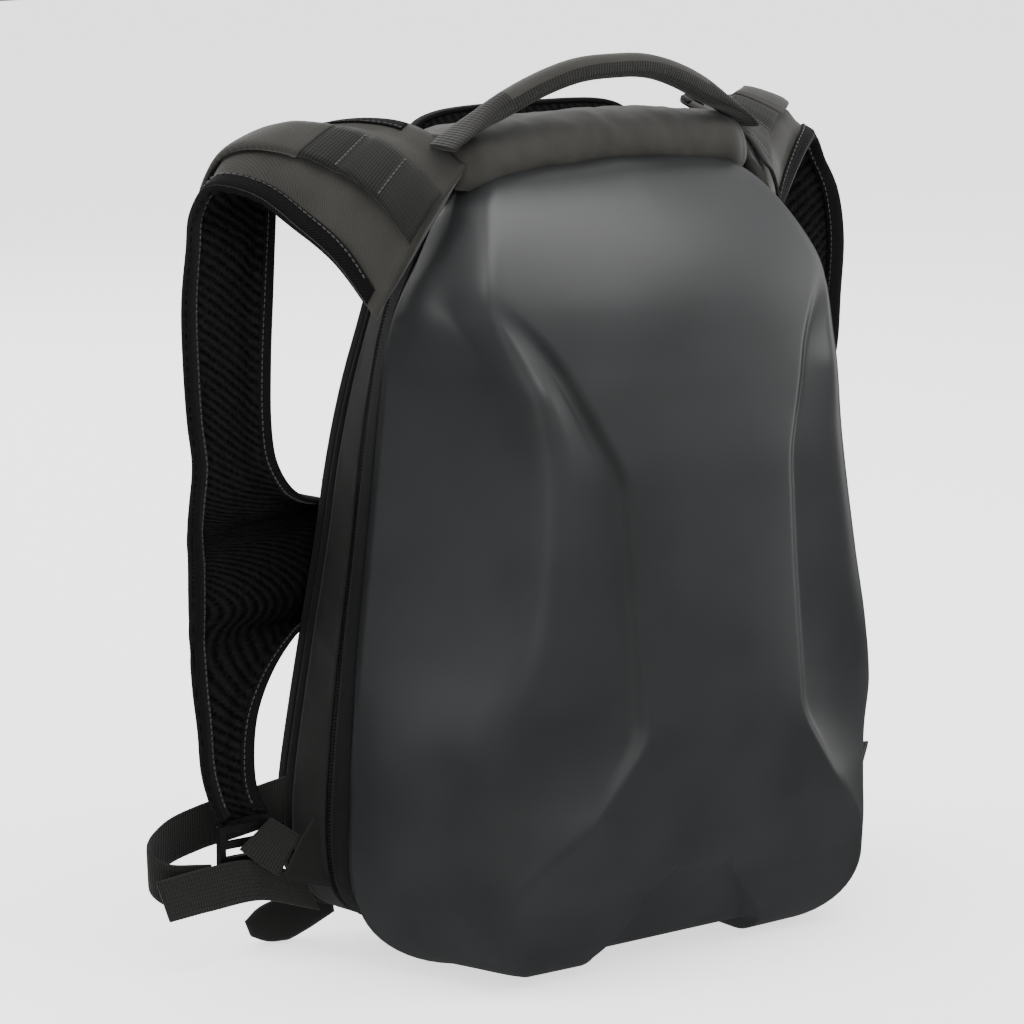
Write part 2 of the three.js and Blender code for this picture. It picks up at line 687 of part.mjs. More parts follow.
// The padded roll over the shell's top edge.
function yokeSolid(grow) {
  const stations = 8;
  const rings = [];
  for (let i = 0; i <= stations; i += 1) {
    const x = lerp(-yokeHalfWidth - grow, yokeHalfWidth + grow, i / stations);
    const droop = (x / yokeHalfWidth) ** 2 * yokeDroop;
    rings.push(YOKE.map((row) => V(x, row.y * yokeBack, shellHeight + row.z * yokeHeight + grow - droop)));
  }
  return skin(rings);
}

function handleSolid() {
  const line = HANDLE.map((row) => V(
    row.x * handleHalfSpan, -handleFoot - handleLean * row.rise, shellHeight + row.rise * handleRise,
  ));
  const circle = new THREE.Shape();
  circle.absarc(0, 0, handleDiameter / 2, 0, 2 * Math.PI, false);
  const geometry = new THREE.ExtrudeGeometry(circle, {
    steps: 24, curveSegments: 5, bevelEnabled: false, extrudePath: new THREE.CatmullRomCurve3(line),
  });
  return toManifold(geometry);
}

// A padded sheet that closes the back: full outline at the piping, drawn in to a flat face.
function backPanel() {
  const inset = -bindingThickness - clearance;
  return skin([
    outlineLoop(backFront, inset, backRise),
    outlineLoop(backFront + backThickness * backSideShare, inset, backRise),
    outlineLoop(backFace - backShoulderDrop, -backFaceInset * backShoulderShare, backRise),
    outlineLoop(backFace, -backFaceInset, backRise),
  ]);
}

// The bound edge around the back panel.
function backBinding() {
  const depths = [backFront, backFront + bindingWidth];
  const outer = depths.map((y) => outlineLoop(y, 0, backRise));
  const inner = depths.map((y) => outlineLoop(y, -bindingThickness, backRise)).reverse();
  const around = outer[0].map((_, i) => [...outer, ...inner].map((loop) => loop[i]));
  return skin(around, true);
}

// A frame of three bars for the strap's lower end, its own middle at the origin.
function ladderLock() {
  const w = ladderWidth / 2;
  const h = ladderHeight / 2;
  const corners = (rows) => rows.map(([x, y]) => new THREE.Vector2(x, y));
  const shape = new THREE.Shape(corners([[-w, -h], [w, -h], [w, h], [-w, h]]));
  const slotHeight = (ladderHeight - 3 * ladderBar) / 2;
  for (const low of [-h + ladderBar, ladderBar / 2]) {
    const slot = [[-w + ladderBar, low], [-w + ladderBar, low + slotHeight],
      [w - ladderBar, low + slotHeight], [w - ladderBar, low]];
    shape.holes.push(new THREE.Path(corners(slot)));
  }
  return new THREE.ExtrudeGeometry(shape, { depth: ladderThickness, bevelEnabled: false });
}

function ladderSolid() {
  const end = strapRows[END_ROW];
  const middle = end.outer.clone().add(end.inner).multiplyScalar(0.5);
  const geometry = ladderLock();
  geometry.rotateX(Math.PI / 2);
  const top = Math.min(end.outer.z, end.inner.z) - clearance;
  geometry.translate(middle.x, middle.y + ladderThickness / 2, top - ladderHeight / 2);
  return toManifold(geometry);
}

function boxAt(width, depth, height, x, y, z) {
  const geometry = new THREE.BoxGeometry(width, depth, height);
  geometry.translate(x, y, z);
  return toManifold(geometry);
}

const pack = packVolume(seatGap);
const strapGrown = strapSolid(seatGap);
const yokeGrown = yokeSolid(seatGap);
const yoke = mainBody(yokeSolid(0).subtract(pack));
const strap = mainBody(strapSolid(0).subtract(pack).subtract(yokeGrown));
const shoulderWeb = mainBody(shoulderWebbing().subtract(strapGrown).subtract(yokeGrown));
const recess = recessCutter(0);
const cavity = shellVolume(-shellWall).subtract(recessCutter(shellWall));
const shell = mainBody(shellVolume(0).subtract(recess).subtract(cavity));
const mirrorOf = (body) => body.mirror([1, 0, 0]);
const handle = mainBody(handleSolid().subtract(strapGrown).subtract(mirrorOf(strapGrown))
  .subtract(yokeGrown));
const wing = strapRows[WING_ROW].inner;
const chestHalf = buckleWidth / 2;
const chestWeb = boxAt(wing.x - chestHalf - 2 * clearance, webThickness, webWidth,
  (wing.x + chestHalf) / 2, wing.y, wing.z);
const chestBuckle = boxAt(buckleWidth, buckleThickness, buckleHeight, 0, wing.y, wing.z);
const sliderSeat = strapRows[WING_ROW - 2].inner;
const sliderBlock = boxAt(sliderWidth, sliderDepth, sliderHeight,
  sliderSeat.x - sliderWidth / 4, sliderSeat.y, sliderSeat.z + sliderHeight / 3);
const slider = mainBody(sliderBlock.subtract(strapSolid(2 * seatGap)));
const ladder = ladderSolid();
const tabRows = edgeRows(SIDE_TAB);
const tab = mainBody(flatStrip(tabRows, tabThickness, 1).subtract(pack));
const tabGrown = strip(tabRows, 1, () => tabThickness / 2 + clearance, () => 0, 1, clearance);
const lowerWeb = mainBody(webbing(LOWER_WEB, 6).subtract(pack).subtract(tabGrown));
const tail = mainBody(webbing(TAIL, 8).subtract(pack));
const packWithPiping = packVolume(pipingProud + clearance);
const waistWeb = mainBody(webbing(WAIST_WEB, 20).subtract(packWithPiping));
const flapBlock = flatStrip(edgeRows(HIP_FLAP), flapThickness, 8, 2);
const flap = mainBody(flapBlock.subtract(pack).trimByPlane([0, 0, 1], 0));

const group = new THREE.Group();

function add(name, body, finish) {
  const { vertProperties, triVerts, numProp } = body.setTolerance(meshTolerance).getMesh();
  const geometry = new THREE.BufferGeometry();
  const positions = [];
  for (let i = 0; i < vertProperties.length; i += numProp) {
    positions.push(vertProperties[i], vertProperties[i + 1], vertProperties[i + 2]);
  }
  geometry.setAttribute('position', new THREE.Float32BufferAttribute(positions, 3));
  geometry.setIndex([...triVerts]);
  geometry.computeVertexNormals();
  const mesh = new THREE.Mesh(geometry, new THREE.MeshStandardMaterial(FINISH[finish]));
  mesh.name = name;
  group.add(mesh);
}

function addPair(name, body, finish) {
  add(`${name}_right`, body, finish);
  add(`${name}_left`, mirrorOf(body), finish);
}

add('shell', shell, 'shell');
add('rim_band', hoop(bandFront, bandFront + bandWidth, bandThickness), 'tape');
add('zip', hoop(zipFront, zipFront + zipWidth, zipThickness), 'lining');
add('gusset', hoop(gussetFront, gussetFront + gussetWidth, gussetThickness, 0, 2), 'cloth');
add('piping', hoop(pipingFront, pipingFront + pipingWidth, pipingThickness, pipingProud), 'tape');
add('back_panel', backPanel(), 'lining');
add('back_binding', backBinding(), 'tape');
add('yoke', yoke, 'cloth');
add('handle', handle, 'webbing');
addPair('strap', strap, 'cloth');
addPair('shoulder_web', shoulderWeb, 'webbing');
addPair('chest_web', chestWeb, 'webbing');
addPair('strap_slider', slider, 'plastic');
addPair('ladder_lock', ladder, 'plastic');
addPair('lower_web', lowerWeb, 'webbing');
addPair('side_tab', tab, 'cloth');
addPair('strap_tail', tail, 'webbing');
addPair('waist_web', waistWeb, 'webbing');
addPair('hip_flap', flap, 'lining');
add('chest_buckle', chestBuckle, 'plastic');

// The origin goes to the middle of the footprint, on the surface that the pack stands on.
const bounds = new THREE.Box3().setFromObject(group);
group.position.set(-(bounds.min.x + bounds.max.x) / 2, -(bounds.min.y + bounds.max.y) / 2, -bounds.min.z);

export default group;
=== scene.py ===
# %% [markdown]
# A hard shell backpack: a moulded front shell zipped to a fabric body, with padded straps.
# The frame holds the real sizes. Each piece here is modelled in its place in that frame.

# %% Load the frame
import math

import bmesh
import bpy
import numpy as np
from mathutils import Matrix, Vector, noise


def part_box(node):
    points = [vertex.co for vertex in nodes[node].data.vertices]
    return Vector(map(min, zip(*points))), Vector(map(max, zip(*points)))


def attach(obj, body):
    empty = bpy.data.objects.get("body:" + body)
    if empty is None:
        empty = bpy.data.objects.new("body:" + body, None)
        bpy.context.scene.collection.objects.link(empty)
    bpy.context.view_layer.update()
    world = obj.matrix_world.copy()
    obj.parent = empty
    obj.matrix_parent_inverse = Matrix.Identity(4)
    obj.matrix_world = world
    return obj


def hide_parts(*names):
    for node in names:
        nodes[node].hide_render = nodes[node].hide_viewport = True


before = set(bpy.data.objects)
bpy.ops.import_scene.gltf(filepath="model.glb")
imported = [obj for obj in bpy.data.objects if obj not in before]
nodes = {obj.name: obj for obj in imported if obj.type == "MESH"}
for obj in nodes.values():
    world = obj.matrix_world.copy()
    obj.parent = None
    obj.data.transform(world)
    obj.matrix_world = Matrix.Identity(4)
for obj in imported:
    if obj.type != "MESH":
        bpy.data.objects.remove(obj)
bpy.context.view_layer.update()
RIM_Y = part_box("rim_band")[0][1] - 0.0003

# %% [markdown]
# All pieces are measured from the shell's rim plane, in millimetres, because that is how a bag
# maker would mark them. One helper turns such a point into the frame's metres.

# %% Places and meshes
MM = 0.001


def at(x, y, z):
    """A point in millimetres from the rim plane, as a place in the frame."""
    return Vector((x * MM, y * MM + RIM_Y, z * MM))


def add_mesh(name, points, faces, uvs=None, smooth=True):
    """A mesh object from points and faces, with one uv pair for each point."""
    mesh = bpy.data.meshes.new(name)
    mesh.from_pydata([tuple(p) for p in points], [], faces)
    if uvs is not None:
        layer = mesh.uv_layers.new(name="UVMap")
        flat = np.array([uvs[v] for face in faces for v in face], np.float32)
        layer.data.foreach_set("uv", flat.ravel())
    mesh.polygons.foreach_set("use_smooth", [smooth] * len(faces))
    mesh.update()
    piece = bpy.data.objects.new(name, mesh)
    bpy.context.scene.collection.objects.link(piece)
    return piece


def face_outward(piece):
    """Turns the faces of a closed mesh so that they look outward."""
    bm = bmesh.new()
    bm.from_mesh(piece.data)
    bmesh.ops.recalc_face_normals(bm, faces=bm.faces)
    bm.to_mesh(piece.data)
    bm.free()
    return piece


def grid_faces(rows, columns, wrap_rows=False, wrap_columns=False):
    """Quads between neighbouring points of a grid."""
    faces = []
    for i in range(rows if wrap_rows else rows - 1):
        for j in range(columns if wrap_columns else columns - 1):
            k, m = (i + 1) % rows, (j + 1) % columns
            faces.append((i * columns + j, i * columns + m, k * columns + m, k * columns + j))
    return faces


def closed_tube(name, points, uvs, ring):
    """A closed piece from rings of points, one after the other, with a face at either end."""
    count = len(points) // ring
    faces = grid_faces(count, ring, wrap_columns=True)
    faces += [tuple(range(ring)), tuple((count - 1) * ring + j for j in range(ring))[::-1]]
    return face_outward(add_mesh(name, points, faces, uvs))


def mirror_of(piece, name):
    """The left-hand copy of a right-hand piece."""
    twin = piece.copy()
    twin.data = piece.data.copy()
    twin.name = twin.data.name = name
    for v in twin.data.vertices:
        v.co.x = -v.co.x
    twin.data.flip_normals()
    bpy.context.scene.collection.objects.link(twin)
    return twin


def dress(piece, material, slot, *replaced):
    """Gives a piece its material and its place in the frame."""
    piece.data.materials.clear()
    piece.data.materials.append(material)
    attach(piece, "root")
    if replaced:
        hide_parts(*replaced)
    return piece


def dress_pair(piece, name, material, slot, replaces=False):
    """Dresses a right-hand piece and its mirrored copy, and gives both back, the left one first."""
    pair = [mirror_of(piece, name + "_left"), piece]
    for one, side in zip(pair, ("_left", "_right")):
        dress(one, material, slot, *([name + side] if replaces else []))
    return pair


# %% [markdown]
# The photograph was taken from the front left, a little above the pack, with a long lens. The
# camera's angle and distance come from the rim's outline, which is the same on both sides.

# %% Camera
CAMERA_AZIMUTH = math.radians(-37)
CAMERA_ELEVATION = math.radians(11.3)
CAMERA_DISTANCE = 2.5157
FOCAL_PIXELS = 4327
PHOTO_WIDTH = 1024
back = Vector((
    math.sin(CAMERA_AZIMUTH) * math.cos(CAMERA_ELEVATION),
    -math.cos(CAMERA_AZIMUTH) * math.cos(CAMERA_ELEVATION),
    math.sin(CAMERA_ELEVATION),
))
target = at(-2.4, 62.1, 231.2)
camera_data = bpy.data.cameras.new("camera")
camera_data.sensor_width = 36
camera_data.lens = FOCAL_PIXELS / PHOTO_WIDTH * camera_data.sensor_width
camera = bpy.data.objects.new("camera", camera_data)
camera.location = target + back * CAMERA_DISTANCE
camera.rotation_euler = back.to_track_quat("Z", "Y").to_euler()
bpy.context.scene.collection.objects.link(camera)
bpy.context.scene.camera = camera
print("camera", [round(v, 3) for v in camera.location], "lens", round(camera_data.lens, 1))

# %% [markdown]
# A product photograph has a pale ground and large soft lamps. A panel high at the front right
# makes the broad highlight on the shell's upper end, and one overhead lights the cloth. Smaller
# panels round the pack lift its edges. The ground is kept out of glossy reflections, as a
# photographer does with black card, so that the lower shell stays dark.

# %% Floor and lights
LAMP_AIM = Vector((0, 0, 0.25))


def soft_lamp(name, place, size, power):
    """A square area lamp that looks at the middle of the pack."""
    data = bpy.data.lights.new(name, "AREA")
    data.size = size
    data.energy = power
    lamp = bpy.data.objects.new(name, data)
    lamp.location = place
    lamp.rotation_euler = (Vector(place) - LAMP_AIM).to_track_quat("Z", "Y").to_euler()
    bpy.context.scene.collection.objects.link(lamp)


soft_lamp("overhead_panel", (-0.3, -0.2, 2.2), 1.6, 28)
soft_lamp("highlight_panel", (1.0, -1.1, 2.25), 1.5, 21)
soft_lamp("front_panel", (-1.9, -1.7, 1.0), 1.4, 3.4)
soft_lamp("left_panel", (-1.9, 0.7, 1.85), 1.2, 10)
soft_lamp("side_panel", (2.1, -0.3, 0.6), 1.2, 8)
soft_lamp("rear_panel", (0.6, 2.2, 1.5), 1.4, 26)

FLOOR_HALF = 6.0
corners = [(x * FLOOR_HALF, y * FLOOR_HALF, 0) for x, y in ((-1, -1), (1, -1), (1, 1), (-1, 1))]
floor = add_mesh("floor", corners, [(0, 1, 2, 3)])
floor.visible_glossy = False

# %% [markdown]
# Colours are written as sRGB hex values, as they would be read off a swatch. Blender's shaders
# want linear light, so one function turns them. Another adds a node with its settings and links,
# and the rest give the output of the nodes that most of the materials need.

# %% Colour and node helpers
def linear(code):
    """An sRGB hex value as a linear colour."""
    shares = [int(code[i:i + 2], 16) / 255 for i in (1, 3, 5)]
    return (*[s / 12.92 if s <= 0.04045 else ((s + 0.055) / 1.055) ** 2.4 for s in shares], 1.0)


def node(tree, kind, links=None, **settings):
    """Adds a node. A setting is an attribute or, failing that, a socket; links are its inputs."""
    made = tree.nodes.new(kind)
    for key, value in settings.items():
        if hasattr(made, key):
            setattr(made, key, value)
        else:
            socket = made.inputs[int(key[1:])] if key[0] == "_" else made.inputs[key.replace("_", " ")]
            socket.default_value = value
    for key, source in (links or {}).items():
        tree.links.new(source, made.inputs[key])
    return made


def new_material(name, **settings):
    """A material with its output and a Principled shader with these settings."""
    material = bpy.data.materials.new(name)
    material.use_nodes = True
    tree = material.node_tree
    tree.nodes.clear()
    shader = node(tree, "ShaderNodeBsdfPrincipled", **settings)
    node(tree, "ShaderNodeOutputMaterial", {"Surface": shader.outputs[0]})
    return material, tree, shader


def place_in(tree, space):
    """The place on the piece, in its own UV or Object space."""
    return node(tree, "ShaderNodeTexCoord").outputs[space]


def speckle(tree, place, scale, detail=2.0):
    """Soft noise of a scale, between 0 and 1."""
    return node(tree, "ShaderNodeTexNoise", {"Vector": place}, Scale=scale, Detail=detail).outputs["Fac"]


def maths(tree, operation, *terms):
    """One sum. Each term is a number or another node's output."""
    made = node(tree, "ShaderNodeMath", operation=operation)
    for socket, term in zip(made.inputs, terms):
        if isinstance(term, (int, float)):
            socket.default_value = term
        else:
            tree.links.new(term, socket)
    return made.outputs[0]


def share_between(tree, value, low, high):
    """0 where a value is low and 1 where it is high."""
    return node(tree, "ShaderNodeMapRange", {"Value": value}, From_Min=low, From_Max=high).outputs[0]


def two_tone(tree, factor, dark, light):
    """A colour between two sRGB ones."""
    colours = {"_6": linear(dark), "_7": linear(light)}
    return node(tree, "ShaderNodeMix", {"Factor": factor}, data_type="RGBA", **colours).outputs[2]


def finish_surface(tree, shader, colour, height, distance, strength):
    """Links a colour and a bump made from a height to the shader."""
    tree.links.new(colour, shader.inputs["Base Color"])
    bump = node(tree, "ShaderNodeBump", {"Height": height}, Strength=strength, Distance=distance)
    tree.links.new(bump.outputs[0], shader.inputs["Normal"])


paper = {"Base_Color": linear("#fafafa"), "Roughness": 0.9}
glow = {"Emission_Color": linear("#ffffff"), "Emission_Strength": 1.4}
floor.data.materials.append(new_material("studio_paper", **paper, **glow)[0])

world = bpy.data.worlds.new("studio")
bpy.context.scene.world = world
world.use_nodes = True
tree = world.node_tree
background = tree.nodes["Background"]
up = node(tree, "ShaderNodeSeparateXYZ", {0: place_in(tree, "Generated")}).outputs[2]
brightness = {"From_Min": -0.2, "From_Max": 0.9, "To_Min": 0.1, "To_Max": 1.15}
sky = node(tree, "ShaderNodeMapRange", {"Value": up}, **brightness)
tree.links.new(sky.outputs[0], background.inputs[1])
background.inputs[0].default_value = linear("#ffffff")

# %% [markdown]
# The shell is ABS, pressed or moulded in a tool with a fine spark texture. That gives a satin
# grey black with a wide soft highlight, and grain that can only just be seen.

# %% Moulded ABS for the shell
# Real spark grain is near 0.15 mm; it is drawn at 0.5 mm so that it shows.
SPARK_GRAIN = 0.0005


def moulded_abs():
    """Satin moulded ABS with a fine spark texture."""
    material, tree, shader = new_material("moulded_abs", Roughness=0.38, IOR=1.54)
    place = place_in(tree, "Object")
    cloud = share_between(tree, speckle(tree, place, 14.0, 3.0), 0.35, 0.65)
    tone = two_tone(tree, cloud, "#1d1e1f", "#232425")
    finish_surface(tree, shader, tone, speckle(tree, place, 1 / SPARK_GRAIN), 0.00003, 0.5)
    return material


shell_abs = moulded_abs()

# %% [markdown]
# The body cloth is a twill woven polyester: diagonal ridges about 1 mm apart, slightly fuzzy, so
# it has a little sheen. The pattern runs in the cloth's own uv, measured in metres.

# %% Twill polyester
# A wave texture of scale 1 repeats after 2 pi / 20 units.
WAVE_PERIOD = 0.31416
TWILL_PITCH, YARN = 0.0012, 0.0007


def twill_polyester(name, dark, light, sheen=0.12, level=0.25):
    """Polyester twill: diagonal ridges, broken up across the yarns."""
    gloss = {"Roughness": 0.78, "Sheen_Weight": sheen, "Sheen_Roughness": 0.5, "Specular_IOR_Level": level}
    material, tree, shader = new_material(name, **gloss)
    place = place_in(tree, "UV")
    ridges = node(
        tree, "ShaderNodeTexWave", {"Vector": place}, wave_type="BANDS", bands_direction="DIAGONAL",
        Scale=WAVE_PERIOD / TWILL_PITCH / 2**0.5 * 2, Distortion=0.5, Detail=1.0, Detail_Scale=2.0,
    ).outputs["Fac"]
    height = maths(tree, "MULTIPLY_ADD", ridges, 0.45, speckle(tree, place, 1 / YARN))
    tone = maths(tree, "ADD", height, speckle(tree, place, 30.0, 4.0))
    share = share_between(tree, tone, 0.55, 1.75)
    finish_surface(tree, shader, two_tone(tree, share, dark, light), height, 0.00016, 0.6)
    return material


strap_twill = twill_polyester("strap_twill", "#1c1c1a", "#3b3a36")
gusset_twill = twill_polyester("gusset_twill", "#0e0e0d", "#1d1d1c", sheen=0.04, level=0.15)

# %% [markdown]
# Binding tape is woven in herringbone: the diagonal turns back at each rib, 5 mm apart. Webbing
# is woven with stout crosswise ribs, about 1.6 mm apart, which catch the light as fine lines.

# %% Herringbone tape and ribbed webbing
FULL_TURN = 6.283
HERRINGBONE_PITCH = 0.0017
WEBBING_CORD = 0.0025


def waves(tree, place, pitch):
    """A sine wave that repeats at a pitch."""
    return maths(tree, "SINE", maths(tree, "MULTIPLY", place, FULL_TURN / pitch))


def herringbone_tape(name, dark, light, rib=0.005):
    """Tape whose diagonal ridges turn back at each rib."""
    material, tree, shader = new_material(name, Roughness=0.8, Sheen_Weight=0.03, Specular_IOR_Level=0.1)
    along, across = node(tree, "ShaderNodeSeparateXYZ", {0: place_in(tree, "UV")}).outputs[:2]
    slant = maths(tree, "ADD", along, maths(tree, "PINGPONG", across, rib))
    share = share_between(tree, waves(tree, slant, HERRINGBONE_PITCH), -1.0, 1.0)
    finish_surface(tree, shader, two_tone(tree, share, dark, light), share, 0.0003, 0.8)
    return material


def ribbed_webbing(name, dark, light, pitch=0.0016):
    """Webbing with crosswise ribs and finer cords along it."""
    material, tree, shader = new_material(name, Roughness=0.75, Sheen_Weight=0.08, Specular_IOR_Level=0.25)
    along, across = node(tree, "ShaderNodeSeparateXYZ", {0: place_in(tree, "UV")}).outputs[:2]
    ribs, cords = waves(tree, along, pitch), waves(tree, across, WEBBING_CORD)
    share = share_between(tree, maths(tree, "MULTIPLY_ADD", cords, 0.35, ribs), -1.35, 1.35)
    finish_surface(tree, shader, two_tone(tree, share, dark, light), share, 0.00035, 0.9)
    return material


black_tape = herringbone_tape("black_tape", "#060606", "#131313")
grey_tape = herringbone_tape("grey_tape", "#0a0a0a", "#1c1c1b", rib=0.004)
webbing_cloth = ribbed_webbing("webbing_cloth", "#0d0d0c", "#21211f")
handle_webbing = ribbed_webbing("handle_webbing", "#0d0d0c", "#272623", pitch=0.0018)

# %% [markdown]
# The wearer's side of the straps and the back are spacer mesh: a black knit with slanting ribs
# and small open cells. It is nearly black because light sinks into the cells.

# %% Spacer mesh, acetal and nylon
MESH_RIB, MESH_CELL = 0.0048, 0.0021
MESH_SLANT = math.radians(-35)


def spacer_mesh():
    """Black spacer mesh with slanting ribs of open cells."""
    material, tree, shader = new_material("spacer_mesh", Roughness=0.95, Specular_IOR_Level=0.08)
    turned = node(tree, "ShaderNodeMapping", {"Vector": place_in(tree, "UV")}, Rotation=(0, 0, MESH_SLANT))
    place = {"Vector": turned.outputs[0]}
    ribs = node(
        tree, "ShaderNodeTexWave", place, wave_type="BANDS", bands_direction="X",
        Scale=WAVE_PERIOD / MESH_RIB, Distortion=0.4,
    ).outputs["Fac"]
    cells = node(tree, "ShaderNodeTexVoronoi", place, Scale=1 / MESH_CELL).outputs["Distance"]
    height = maths(tree, "ADD", ribs, cells)
    share = share_between(tree, height, 0.2, 1.6)
    finish_surface(tree, shader, two_tone(tree, share, "#020202", "#151515"), height, 0.0006, 0.9)
    return material


def moulded_acetal():
    """Injection moulded acetal: smooth, hard and fairly glossy."""
    material, tree, shader = new_material("moulded_acetal", Roughness=0.32, IOR=1.48)
    flow = speckle(tree, place_in(tree, "Object"), 900.0)
    finish_surface(tree, shader, two_tone(tree, flow, "#0d0d0d", "#171717"), flow, 0.00002, 0.5)
    return material


air_mesh = spacer_mesh()
acetal = moulded_acetal()

# %% [markdown]
# The shell is one smooth skin with a raised middle panel, whose edge is the crease that runs
# down both sides. A row of level sections gives its form: each says how far out the rim, the
# soft crest and the crease lie at one height. A curve through the rows fills in the rest.

# %% Sections of the shell
# Height, rim, bulge, crest x and y, crest rounding, crease x and y, step, and the middle's depth.
SHELL_ROWS = np.array([
    (410, 106, 5, 112, 52, 36, 95, 61, 0, 78.5),
    (399, 112, 5, 118, 58, 33, 105, 66, 0, 84.5),
    (384, 121, 4, 122, 67, 28, 112, 74, 1.5, 91),
    (365, 131, 3, 121, 79, 22, 96, 86, 3.5, 98),
    (345, 137, 1, 114, 93, 18, 83, 95, 5.5, 104),
    (328, 139, 0, 108, 103, 14, 76, 102, 6, 109),
    (286, 144, -2, 105, 111, 12, 57, 116, 7, 120),
    (225, 151, -3, 112, 115, 12, 55, 123, 7, 129),
    (182, 156, -2, 123, 113, 14, 55, 128, 7, 135),
    (142, 159, 2, 140, 100, 18, 55, 133, 7, 138),
    (116, 161, 4, 142, 95, 22, 73, 129, 4.5, 133),
    (91, 162, 5, 139, 95, 22, 91, 125, 2.6, 127),
    (62, 163, 3, 136, 94, 22, 119, 107, 1.2, 114),
    (45, 161, 1, 134, 92, 20, 122, 101, 0, 104),
], float)
RIM_TOP = [(0, 446), (50, 445.5), (70, 443), (84, 437), (99, 418.8)]
RIM_BOTTOM = [(0, 20), (60, 20), (120, 20), (143, 23.2), (154, 32)]
CREASE_WIDTH = 6.0
CREASE_SOFT = 3.4
# How far the crest's rounding reaches, as a share of its radius.
CREST_REACH = 1.25
# The upper edge of the crease is rounded a little less than its foot.
EDGE_SOFT = CREASE_SOFT * 0.8
WALL_POINTS, CREST_POINTS, CREASE_POINTS, PANEL_POINTS = 20, 14, 6, 25


def hermite(t, a, b, slope_a, slope_b):
    """A smooth curve from a at 0 to b at 1, with its slopes there."""
    return (
        (2 * t**3 - 3 * t**2 + 1) * a + (t**3 - 2 * t**2 + t) * slope_a
        + (3 * t**2 - 2 * t**3) * b + (t**3 - t**2) * slope_b
    )


def smooth_column(heights, values, z):
    """A smooth curve through the rows of one column, read at z."""
    i = int(np.clip(np.searchsorted(-heights, -z, side="right") - 1, 0, len(heights) - 2))
    a, b = heights[i], heights[i + 1]
    before, after = max(i - 1, 0), min(i + 2, len(heights) - 1)
    slope_a = (values[i + 1] - values[before]) / (heights[i + 1] - heights[before])
    slope_b = (values[after] - values[i]) / (heights[after] - heights[i])
    t = np.clip((z - a) / (b - a), 0, 1)
    return hermite(t, values[i], values[i + 1], slope_a * (b - a), slope_b * (b - a))


def straight_column(heights, values, z, soft=9.0):
    """Straight lines between the rows, rounded over soft millimetres where they turn."""
    reads = [np.interp(z + d, heights[::-1], values[::-1]) for d in np.linspace(-soft, soft, 7)]
    return float(np.mean(reads))


def bend(a, corner, b, count):
    """A curved corner from a to b, without its last point."""
    t = np.linspace(0, 1, count, endpoint=False)[:, None]
    return (1 - t) ** 2 * a + 2 * t * (1 - t) * corner + t**2 * b


def line(a, b, count):
    """A straight run from a to b, without its last point."""
    return a + (b - a) * np.linspace(0, 1, count, endpoint=False)[:, None]


def towards(a, b, reach):
    """The point reach millimetres from a on the way to b, and at most 0.45 of the way."""
    length = np.linalg.norm(b - a)
    return a + (b - a) * min(reach / max(length, 1e-6), 0.45)


def half_section(z):
    """Half a level section from the rim to the middle, as x and y in millimetres."""
    heights, *columns = SHELL_ROWS.T
    rim_x, bulge, crest_x, crest_y, rounding = (smooth_column(heights, c, z) for c in columns[:5])
    edge_x, edge_y = (straight_column(heights, c, z) for c in columns[5:7])
    step, middle = (smooth_column(heights, c, z) for c in columns[7:])
    rim = np.array([rim_x, 0.0])
    crest = np.array([crest_x, -crest_y])
    edge = np.array([edge_x, -edge_y])
    foot = np.array([edge_x + CREASE_WIDTH, -edge_y + step])
    wall_end, facet_start = (towards(crest, way, rounding * CREST_REACH) for way in (rim, foot))
    # A point of the panel, 0.8 of the way out, where its curve has fallen by 0.64.
    inner = np.array([edge_x * 0.8, -(middle + (edge_y - middle) * 0.64)])
    foot_in, foot_out = towards(foot, facet_start, CREASE_SOFT), towards(foot, edge, CREASE_SOFT)
    edge_in, edge_out = towards(edge, foot, EDGE_SOFT), towards(edge, inner, EDGE_SOFT)
    wall = line(rim, wall_end, WALL_POINTS)
    wall[:, 0] += bulge * np.sin(np.pi * np.linspace(0, 1, WALL_POINTS, endpoint=False))
    crest_bend = bend(wall_end, crest, facet_start, CREST_POINTS)
    facet = line(facet_start, foot_in, CREST_POINTS)
    foot_bend = bend(foot_in, foot, foot_out, CREASE_POINTS)
    edge_bend = bend(edge_in, edge, edge_out, CREASE_POINTS)
    reach = np.linspace(1, 0, PANEL_POINTS)
    panel = np.stack([edge_out[0] * reach, -(middle + (-edge_out[1] - middle) * reach**2)], 1)
    return np.concatenate([wall, crest_bend, facet, foot_bend, line(foot_out, edge_in, 3), edge_bend, panel])


print("points in half a section", len(half_section(225)))

# %% [markdown]
# The grid of the shell starts at the top of the rim, runs over the top deck, down the sections
# and under the feet to the bottom of the rim. The recess is pressed into the same grid, so its
# edges come out soft, as they do from a mould.

# %% The shell's grid
SECTION_TOP, SECTION_LOW, SECTION_COUNT = 410, 45, 142
DECK_ROWS, DECK_RISE = 16, 9.0
# The deck's two middle points: how far in they lie towards the rim, how much depth they keep,
# and how much of the climb is done at the first of them.
NEAR_TOP, NEAR_RIM, FIRST_CLIMB = (0.08, 0.82), (0.6, 0.53), 0.6
SOLE_BACK, SOLE_INSET, SOLE_EDGE = 28.0, 0.66, 0.96
SOLE_TURN, SOLE_ROWS = 14, 9
# The rim's side reaches its lower corner in so many steps.
LOW_STEPS = 18
RECESS_TOP, RECESS_FOOT = 57.6, 10.2
RECESS_HALVES = (21.7, 60.5)
RECESS_TAPER = 0.9
RECESS_WALL = (108.0, 80.0)
RECESS_SOFT = 4.0
DOME_START, DOME_END, DOME_PASSES = 368, 408, 150
